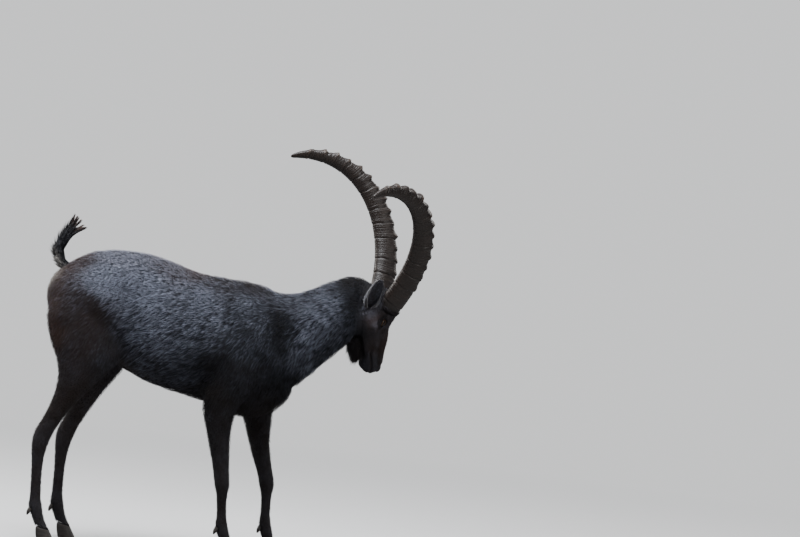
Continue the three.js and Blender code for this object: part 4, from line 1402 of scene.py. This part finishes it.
def horn_fringe(side_name):
    """A ring of short hair that lies up each horn from where it leaves the skin."""
    side = SIDES[side_name]
    leave = leaving_shares(side)
    rng = np.random.default_rng(53)
    count = 2400
    u = rng.random(count)
    v = np.interp(u, np.linspace(0, 1, len(leave)), leave)
    root, _ = horn_surface(u, v, side)
    ahead, _ = horn_surface(u, v + 0.012, side)
    _, place, _, _ = horn_lines(side)
    out = unit(root - place[np.round(v * HORN_RINGS).astype(int)])
    way = unit(ahead - root + out * (1.2 * rng.random(count) - 0.1)[:, None])
    across = unit(np.cross(out, way))
    way = unit(way + across * rng.normal(0, 0.14, count)[:, None])
    long = rng.uniform(7, 14, count)[:, None]
    root = root + out * 0.9 - way * rng.uniform(-1.5, 7.0, count)[:, None]
    tip = root + way * long + out * long * 0.12
    mid = root + (tip - root) * 0.5 + out * long * 0.08
    mark = columns(np.clip(0.16 + rng.normal(0, 0.05, count), 0, 1), 0.15, 0)
    wide = rng.uniform(0.7, 1.2, count)
    blades(
        "horn_fringe_" + side_name,
        "coat_dark",
        from_head(root),
        [from_head(mid), from_head(tip)],
        across @ HEAD_TURN.T,
        out @ HEAD_TURN.T,
        wide * MM,
        columns(0.04 + 0.92 * u, 0.04 + v * 3.5),
        mark,
        rng.random(count),
    )


class IBEX_OT_horns(bpy.types.Operator):
    """Make the two knobbed horns, with their growth rings and the hair around their bases"""

    bl_idname = "ibex.horns"
    bl_label = "Horns"

    def execute(self, context):
        for side_name in SIDES:
            horn(side_name)
            horn_fringe(side_name)
        return {"FINISHED"}


# Ears
def ear_surface(u, v, side_name):
    """A point of the ear's leaf: u from root to tip, v across from -1 to 1, in the head's frame."""
    side = SIDES[side_name]
    along = unit(np.array(EAR_ALONG[side_name]))
    opening = np.array(EAR_OPEN)
    opening = unit(opening - along * (opening @ along))
    across = np.cross(opening, along)
    half = np.interp(u, EAR_SHARE, EAR_HALF)
    wrap = np.radians(np.interp(u, (0, 0.15, 0.4, 0.8, 1), (165, 140, 96, 74, 50)))
    radius = half / np.sin(np.minimum(wrap, math.pi / 2))
    radius = radius * np.interp(u, (0, 0.3, 1), (0.92, 0.9, 0.98))
    angle = v * wrap
    middle = u[:, None] * EAR_LENGTH * along + (2 - 9 * u**2)[:, None] * opening
    rim = 1 + 0.05 * np.sin(u * 9)
    point = EAR_ROOT + middle
    point = point + across * (radius * rim * np.sin(angle))[:, None]
    point = point + opening * (radius * 0.62 * (0.35 - np.cos(angle)))[:, None]
    return point * (1, side, 1)


def ear(side_name):
    bm, aside, u = sheet(EAR_COLUMNS, EAR_ROWS)
    v = aside * 2 - 1
    edge = np.maximum(ease(np.abs(v), 0.72, 0.96), ease(u, 0.86, 0.98))
    tone = 0.1 + 0.36 * edge
    laid(bm, from_head(ear_surface(u, v, side_name)), "marking_and_painted_light", columns(tone, 0.15, 0.1 * tone, 1))
    obj = shell(bm, "ear_cup_" + side_name, 0.0026, 1)
    obj.data.materials.append(bpy.data.materials["short hair"])
    return kept(obj, "ear_coat", "ear_" + side_name)


def ear_hair(side_name):
    """Short hair on the ear's back, a pale fringe on its rim and longer hair in the cup."""
    rng = np.random.default_rng(31)

    def at_ear(u, v):
        return from_head(ear_surface(np.minimum(u, 1), np.clip(v, -1, 1), side_name))

    step = 0.01
    rows = []
    for kind, (count, length, width, tone, white, face) in EAR_HAIR.items():
        u = rng.uniform(0.03, 0.97, count)
        v = rng.uniform(-1, 1, count)
        if kind == "rim":
            v = np.sign(v) * rng.uniform(0.9, 1.0, count)
        if kind == "cup":
            v = np.sign(v) * rng.uniform(0.45, 0.95, count)
            u = rng.uniform(0.08, 0.8, count)
        at = at_ear(u, v)
        way = unit(at_ear(u + step, v) - at)
        beside = unit(at_ear(u, v + step) - at_ear(u, v - step))
        outwards = unit(np.cross(way, beside)) * SIDES[side_name]
        if face >= 0:
            outwards = -outwards
        inwards = -beside * np.sign(v)[:, None]
        if kind == "cup":
            way = unit(way + 0.9 * inwards)
        if kind == "rim":
            way = unit(way - 0.35 * inwards)
        long = length * MM * rng.uniform(0.7, 1.15, count)[:, None]
        root = at + outwards * 0.0008
        tip = root + way * long + outwards * long * (0.3 if face else 0.1)
        mid = root + (tip - root) * 0.5 + outwards * long * 0.1
        across = unit(np.cross(outwards, way))
        wide = width * MM * rng.uniform(0.8, 1.2, count)
        mark = columns(np.clip(tone + rng.normal(0, 0.06, count), 0, 1), 0.1, white)
        spot = columns(0.5 + v * 0.42, 0.04 + u * 0.9)
        rows.append((root, mid, tip, across, outwards, wide, spot, mark, rng.random(count)))
    root, mid, tip, *rest = (np.concatenate(column) for column in zip(*rows))
    blades("ear_hair_" + side_name, "ear_coat", root, [mid, tip], *rest)


class IBEX_OT_ears(bpy.types.Operator):
    """Make the cupped ears and their hair"""

    bl_idname = "ibex.ears"
    bl_label = "Ears"

    def execute(self, context):
        for side_name in SIDES:
            ear(side_name)
            ear_hair(side_name)
        return {"FINISHED"}


# Eyes
def eyeball(side_name):
    side = SIDES[side_name]
    centre, gaze, level, rise = eye_frame(side)
    bm = bmesh.new()
    bmesh.ops.create_uvsphere(bm, u_segments=96, v_segments=64, radius=1.0)
    tint = bm.verts.layers.float_color.new("iris")
    for vert in bm.verts:
        x, y, z = vert.co
        angle = math.degrees(math.acos(max(-1.0, min(1.0, z))))
        bulge = 1.3 * max(0.0, 1 - (angle / 48) ** 2)
        slit = (x / 0.44) ** 4 + (y / 0.17) ** 4
        vert[tint] = (angle / IRIS_ANGLE, 1.0 if slit < 1 else max(0.0, 1.6 - slit * 0.6), 0.0, 1.0)
        spot = centre + (level * x + rise * y + gaze * z) * (EYE_RADIUS - 0.4 + bulge)
        vert.co = from_head(spot)
    bmesh.ops.recalc_face_normals(bm, faces=bm.faces)
    obj = from_bmesh(bm, "eyeball_" + side_name)
    obj.data.materials.append(material_of("wet eye", eye_material))
    return kept(obj, "eye", "eye_" + side_name)


def lid_surface(turn, spread, side_name):
    """A point of the lids: a turn around the opening, and how far outside it, in the head's frame."""
    centre, gaze, level, rise = eye_frame(SIDES[side_name])
    along, across = lid_edge(turn)
    length = np.hypot(along, across)
    reach = (length + spread) / length
    along, across = along * reach, across * reach
    above = ease(np.sin(turn), -0.3, 0.3)
    stand = np.interp(spread, LID_SPREAD, LID_ABOVE) * above
    stand = stand + np.interp(spread, LID_SPREAD, LID_BELOW) * (1 - above)
    stand = stand * (1 + 0.12 * np.sin(turn * 9 + 2 * spread)) * 0.9
    height = orbit_height(np.hypot(along, across)) + stand
    return centre + along[:, None] * level + across[:, None] * rise + height[:, None] * gaze


def lid_crescent(turn, spread):
    """1 in the pale crescent over the eye's front, falling to 0 around it."""
    return np.exp(-(((turn - 1.0) / 0.5) ** 2) - ((spread - 4.5) / 2.2) ** 2)


def lids(side_name):
    """The lids: a band around the eye's opening with a thick rim and a fold above and below."""
    bm, around, out = sheet(110, 32)
    turn, spread = around * 2 * math.pi, out * LID_SPREAD[-1]
    mark = columns(0.12 + 0.5 * lid_crescent(turn, spread), 0.15, 0, ease(spread, 1.8, 3.6))
    laid(bm, from_head(lid_surface(turn, spread, side_name)), "marking_and_painted_light", mark)
    obj = shell(bm, "lids_" + side_name, 0.0009)
    obj.data.materials.append(bpy.data.materials["short hair"])
    return kept(obj, "coat_dark")


def lid_hair(side_name):
    """Very short hair over the lids, and lashes along their rims."""
    rng = np.random.default_rng(37)
    _, gaze, level, rise = eye_frame(SIDES[side_name])
    count, lashes, upper = 2600, 110, 70
    turn = rng.uniform(0, 2 * math.pi, count)
    spread = rng.uniform(2.2, 11.0, count)
    turn[:lashes] = rng.uniform(0.25, 2.8, lashes)
    turn[upper:lashes] = rng.uniform(3.7, 5.6, lashes - upper)
    spread[:lashes] = 0.9
    root = lid_surface(turn, spread, side_name)
    away = unit(lid_surface(turn, spread + 0.5, side_name) - root)
    around = unit(lid_surface(turn + 0.05, spread, side_name) - root)
    up = unit(np.cross(away, around))
    up = up * np.sign(up @ gaze)[:, None]
    way = unit(away * 0.7 - level * 0.8)
    long = rng.uniform(2.2, 3.6, count)
    way[:lashes] = unit(gaze * 0.8 + away[:lashes] * 0.75 - level * 0.15)
    long[:lashes] = np.where(np.arange(lashes) < upper, 7.0, 3.5) * rng.uniform(0.8, 1.1, lashes)
    up[:lashes] = unit(np.cross(around[:lashes], way[:lashes]))
    tip = root + (way + up * 0.2) * long[:, None]
    tip[:lashes] -= rise * (0.12 * long[:lashes] * np.sign(np.sin(turn[:lashes])))[:, None]
    mid = root + (tip - root) * 0.5 + up * (0.1 * long)[:, None]
    wide = rng.uniform(0.45, 0.75, count)
    wide[:lashes] = 0.5
    across = unit(np.cross(up, way))
    tone = 0.14 + 0.55 * lid_crescent(turn, spread) + rng.normal(0, 0.04, count)
    tone[:lashes] = 0.0
    blades(
        "lid_hair_" + side_name,
        "coat_dark",
        from_head(root),
        [from_head(mid), from_head(tip)],
        across @ HEAD_TURN.T,
        up @ HEAD_TURN.T,
        wide * MM,
        columns(0.04 + 0.92 * turn / (2 * math.pi), 0.05 + 0.07 * spread),
        columns(np.clip(tone, 0, 1), 0.12, 0),
        rng.random(count),
    )


class IBEX_OT_eyes(bpy.types.Operator):
    """Make the eyeballs with level slits, the lids and their hair"""

    bl_idname = "ibex.eyes"
    bl_label = "Eyes"

    def execute(self, context):
        for side_name in SIDES:
            eyeball(side_name)
            lids(side_name)
            lid_hair(side_name)
        return {"FINISHED"}


# Hooves
class IBEX_OT_hooves(bpy.types.Operator):
    """Make the claws and dewclaws from their solids, with rounded edges"""

    bl_idname = "ibex.hooves"
    bl_label = "Hooves"

    def execute(self, context):
        material = material_of("hoof horn", hoof_material)
        for end in ("fore", "hind"):
            names = [
                f"{end}_{side}_{kind}_{claw}"
                for side in SIDES
                for kind in ("claw", "dewclaw")
                for claw in SIDES
            ]
            obj = copied(names, end + "_hooves")
            remesh = obj.modifiers.new("even", "REMESH")
            remesh.mode = "VOXEL"
            remesh.voxel_size = CLAW_GRAIN
            smooth = obj.modifiers.new("smooth", "SMOOTH")
            smooth.factor = 0.6
            smooth.iterations = 4
            finished(obj)
            obj.data.materials.append(material)
            kept(obj, "hoof", *names)
        return {"FINISHED"}


# Tail and beard
def curve_points(path, share):
    """Smoothly interpolated points along a path."""
    path = np.asarray(path, float)
    knots = np.linspace(0, 1, len(path))
    fine = np.linspace(0, 1, 200)
    dense = np.column_stack([np.interp(fine, knots, path[:, k]) for k in range(path.shape[1])])
    for _ in range(120):
        dense[1:-1] = (dense[:-2] + 2 * dense[1:-1] + dense[2:]) / 4
    return np.column_stack([np.interp(share, fine, dense[:, k]) for k in range(path.shape[1])])


def locks(node, name, slot, root, way, outward, length, width, bend, spot, marking_and_painted_light, rng, sink):
    """Long locks of three lengths each, bent by a sideways push, in place of a solid."""
    long = length[:, None]
    pushes = ((0.36, 0.1), (0.7, 0.42), (0.96, 1.0))
    tips = [root + way * long * share + bend * long * push for share, push in pushes]
    across = unit(np.cross(outward, way))
    random = rng.random(len(root))
    root = root - way * sink
    obj = blades(name, slot, root, tips, across, outward, width, spot, marking_and_painted_light, random, 0.45)
    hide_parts(node)
    return obj


def along_tail(share):
    """The tail's middle, its direction and its upper side at shares of its length."""
    path = [(x, 0.0, z) for x, z in TAIL_PATH]
    before, after = np.maximum(share - 0.01, 0), np.minimum(share + 0.01, 1)
    ahead = unit(curve_points(path, after) - curve_points(path, before))
    return curve_points(path, share), ahead, np.cross(ahead, (0, 1, 0))


def tail_core():
    """The tail's soft core."""
    bm, u, share = sheet(24, 60)
    middle, _, upward = along_tail(np.clip(share, 0, 1))
    radius = np.interp(share, (0, 0.1, 0.5, 0.9, 1), (13, 12.5, 10, 6, 1.0))[:, None]
    angle = u[:, None] * 2 * math.pi
    place = middle + radius * (np.cos(angle) * (0, 1.1, 0) + np.sin(angle) * upward * 0.85)
    laid(bm, from_body(place), "marking_and_painted_light", columns(0.05 + 0 * u, 0.1, 0, 1))
    core = tube(bm, "tail_core", 1e-5)
    core.data.materials.append(bpy.data.materials["short hair"])
    return kept(core, "tail_hair")


def tail_brush():
    """Locks that lie along the tail and part at its tip, white at its root's underside."""
    rng = np.random.default_rng(41)
    count = 5200
    share = rng.random(count) ** 0.85
    angle = rng.uniform(0, 2 * math.pi, count)
    middle, ahead, upward = along_tail(share)
    out = np.cos(angle)[:, None] * (0, 1, 0) + np.sin(angle)[:, None] * upward
    radius = np.interp(share, (0, 0.1, 0.5, 0.9, 1), (12, 11.5, 9.5, 5.5, 1.5))
    root = middle + out * radius[:, None] * 0.92
    spread = np.interp(share, (0, 0.3, 1), (0.28, 0.34, 0.2)) * (0.5 + rng.random(count))
    way = unit(ahead + out * spread[:, None])
    length = np.interp(share, (0, 0.25, 1), (24, 42, 52)) * rng.uniform(0.7, 1.12, count)
    behind = (out * upward).sum(axis=1) + rng.normal(0, 0.25, count)
    tips = np.array([(x, 0.0, z) for x, z in TAIL_TIPS])
    point = tips[np.where(behind > 0.3, 0, np.where(behind > -0.3, 1, 2))]
    aim = point + out * (1, 9, 1) - root
    lean = ease(share, 0.4, 0.68)
    way = unit(way * (1 - lean)[:, None] + unit(aim) * lean[:, None])
    far = np.linalg.norm(aim, axis=1) * rng.uniform(0.78, 1.04, count)
    length = length * (1 - lean) + far * lean
    lobe = np.sign(np.sin(angle * 1.5 + 0.6))
    bend = upward * (0.1 * lobe)[:, None] - out * 0.1
    brown = ease(share, 0.55, 1.0) * rng.uniform(0.3, 1.0, count)
    white = ease(share, 0.38, 0.1) * ease(-out @ (-1, 0, 0.2), 0.35, -0.5)
    mark = columns(0.03 + 0.25 * brown, 0.75 * brown, 0.85 * white * (rng.random(count) < 0.75))
    wide = rng.uniform(1.5, 2.6, count) * MM
    spot = 0.04 + 0.92 * columns(angle / (2 * math.pi), share)
    place = from_body(root)
    shape = (place, way, out, length * MM, wide, bend, spot, mark)
    locks("tail", "tail_brush", "tail_hair", *shape, rng, 0.001)


def beard():
    """Locks that hang from under the chin and jaw."""
    rng = np.random.default_rng(43)
    count = 3400
    along = rng.uniform(52, 114, count)
    aside = rng.normal(0, 8.0, count).clip(-17, 17)
    under = np.interp(along, (40, 62, 88, 112, 132), (-74, -63, -55, -48, -45))
    deep = rng.uniform(0, 20, count)
    root = columns(along + deep * 0.2, aside, under + 3 + 0.02 * aside**2 - deep)
    share = (along - 52) / 62
    way = unit(columns(0.3 + 0.6 * share, aside * 0.014, -1))
    way = unit(way + rng.normal(0, 0.06, (count, 3)))
    outward = unit(columns(0.85, aside * 0.04, 0.45))
    outward = unit(outward - way * (outward * way).sum(axis=1, keepdims=True))
    length = np.interp(share, (0, 0.35, 1), (42, 48, 42)) * rng.uniform(0.7, 1.06, count) - deep * 0.5
    length = length * (1 - 0.25 * (np.abs(aside) / 16))
    bend = (0.34, 0.0, 0.05) + rng.normal(0, 0.03, (count, 3))
    mark = columns(rng.uniform(0.02, 0.1, count), 0.08, 0)
    wide = rng.uniform(1.2, 2.2, count) * MM
    spot = 0.04 + 0.92 * columns(aside / 34 + 0.5, share)
    way, outward, bend = (part @ HEAD_TURN.T for part in (way, outward, bend))
    place = from_head(root)
    shape = (place, way, outward, length * MM, wide, bend, spot, mark)
    locks("beard", "beard_hair", "coat_dark", *shape, rng, 0.004)


class IBEX_OT_tail_and_beard(bpy.types.Operator):
    """Make the tail's brush and the beard"""

    bl_idname = "ibex.tail_and_beard"
    bl_label = "Tail and beard"

    def execute(self, context):
        tail_core()
        tail_brush()
        beard()
        return {"FINISHED"}


# Stage
def floor_material(name):
    """A pale floor that fades into the surround, and that throws little light up at the animal."""
    material, w, shader = new_material(name, 0.9, 0.5)
    seen = w.node("LightPath").outputs["Is Camera Ray"]
    w.join(w.mix(seen, (0.2, 0.2, 0.2), settings("stage").floor), shader.inputs["Base Color"])
    away = w.node("VectorMath", operation="LENGTH")
    w.join(w.place(), away.inputs[0])
    haze = w.node("Emission")
    w.put(SURROUND, haze.inputs["Color"])
    far = w.spread(away.outputs["Value"], 1.3, 4.6)
    w.blended(w.math("MULTIPLY", far, seen), shader, haze, material.node_tree.nodes["Material Output"])
    return material


def surround(tree):
    """A pale surround for the camera that lights the animal only softly."""
    w = Wiring(tree)
    pale = w.node("Background")
    w.put(SURROUND, pale.inputs["Color"])
    dim = tree.nodes["Background"]
    w.put((0.72, 0.8, 1.0), dim.inputs["Color"])
    dim.inputs["Strength"].default_value = 0.24
    w.blended(w.node("LightPath").outputs["Is Camera Ray"], dim, pale, tree.nodes["World Output"])


def soft_light(name, place, aim, size, power, colour):
    data = bpy.data.lights.new(name, "AREA")
    data.shape = "RECTANGLE"
    data.size, data.size_y = size
    data.energy = power
    data.color = colour
    light = linked(name, data)
    light.location = place
    way = Vector(aim) - Vector(place)
    light.rotation_euler = way.to_track_quat("-Z", "Y").to_euler()


def aimed_camera(look):
    """A distant camera that sees the animal at the photo's angle and size."""
    aim = Vector(from_body(CAMERA_AIM))
    across = Vector((1, 0, 0))
    ahead = Vector((0, math.cos(look.elevation), -math.sin(look.elevation)))
    level_up = Vector((0, math.sin(look.elevation), math.cos(look.elevation)))
    right = across * math.cos(look.roll) + level_up * math.sin(look.roll)
    up = level_up * math.cos(look.roll) - across * math.sin(look.roll)
    turn = Matrix((right, up, -ahead)).transposed().to_4x4()
    data = bpy.data.cameras.new("camera")
    data.sensor_width = 36.0
    data.lens = 36.0 * look.distance / look.width
    data.clip_end = 200.0
    camera = linked("camera", data)
    camera.matrix_world = Matrix.Translation(aim - ahead * look.distance) @ turn
    return camera


class IBEX_OT_stage(bpy.types.Operator):
    """Set the floor, the soft lights and the camera"""

    bl_idname = "ibex.stage"
    bl_label = "Stage"

    def execute(self, context):
        bm = bmesh.new()
        bmesh.ops.create_circle(bm, cap_ends=True, segments=64, radius=60.0)
        floor = from_bmesh(bm, "floor")
        floor.data.materials.append(material_of("pale floor", floor_material))
        world = bpy.data.worlds.new("soft surround")
        world.use_nodes = True
        surround(world.node_tree)
        context.scene.world = world
        for name, values in LIGHTS.items():
            soft_light(name, *values)
        context.scene.camera = aimed_camera(settings("stage"))
        return {"FINISHED"}


class IBEX_PT_panel(bpy.types.Panel):
    bl_idname = "IBEX_PT_panel"
    bl_label = "Alpine ibex"
    bl_space_type = "VIEW_3D"
    bl_region_type = "UI"
    bl_category = "Ibex"

    def draw(self, context):
        for name in GROUPS:
            box = self.layout.box()
            look = settings(name)
            for field in look.bl_rna.properties:
                if field.identifier not in ("rna_type", "name"):
                    box.prop(look, field.identifier)
        for operator in OPERATORS:
            self.layout.operator(operator.bl_idname)


GROUPS = {
    "skin": IbexSkinSettings,
    "coat": IbexCoatSettings,
    "horn": IbexHornSettings,
    "eye": IbexEyeSettings,
    "stage": IbexStageSettings,
}
OPERATORS = (
    IBEX_OT_stage,
    IBEX_OT_skin,
    IBEX_OT_coat,
    IBEX_OT_horns,
    IBEX_OT_ears,
    IBEX_OT_eyes,
    IBEX_OT_hooves,
    IBEX_OT_tail_and_beard,
)


def register():
    for name, group in GROUPS.items():
        bpy.utils.register_class(group)
        setattr(bpy.types.Scene, "ibex_" + name, bpy.props.PointerProperty(type=group))
    for operator in OPERATORS:
        bpy.utils.register_class(operator)
    bpy.utils.register_class(IBEX_PT_panel)


def unregister():
    bpy.utils.unregister_class(IBEX_PT_panel)
    for operator in reversed(OPERATORS):
        bpy.utils.unregister_class(operator)
    for name, group in GROUPS.items():
        delattr(bpy.types.Scene, "ibex_" + name)
        bpy.utils.unregister_class(group)


def main():
    register()
    bpy.ops.ibex.stage()
    bpy.ops.ibex.skin()
    bpy.ops.ibex.coat()
    bpy.ops.ibex.horns()
    bpy.ops.ibex.ears()
    bpy.ops.ibex.eyes()
    bpy.ops.ibex.hooves()
    bpy.ops.ibex.tail_and_beard()


if __name__ == "__main__":
    main()
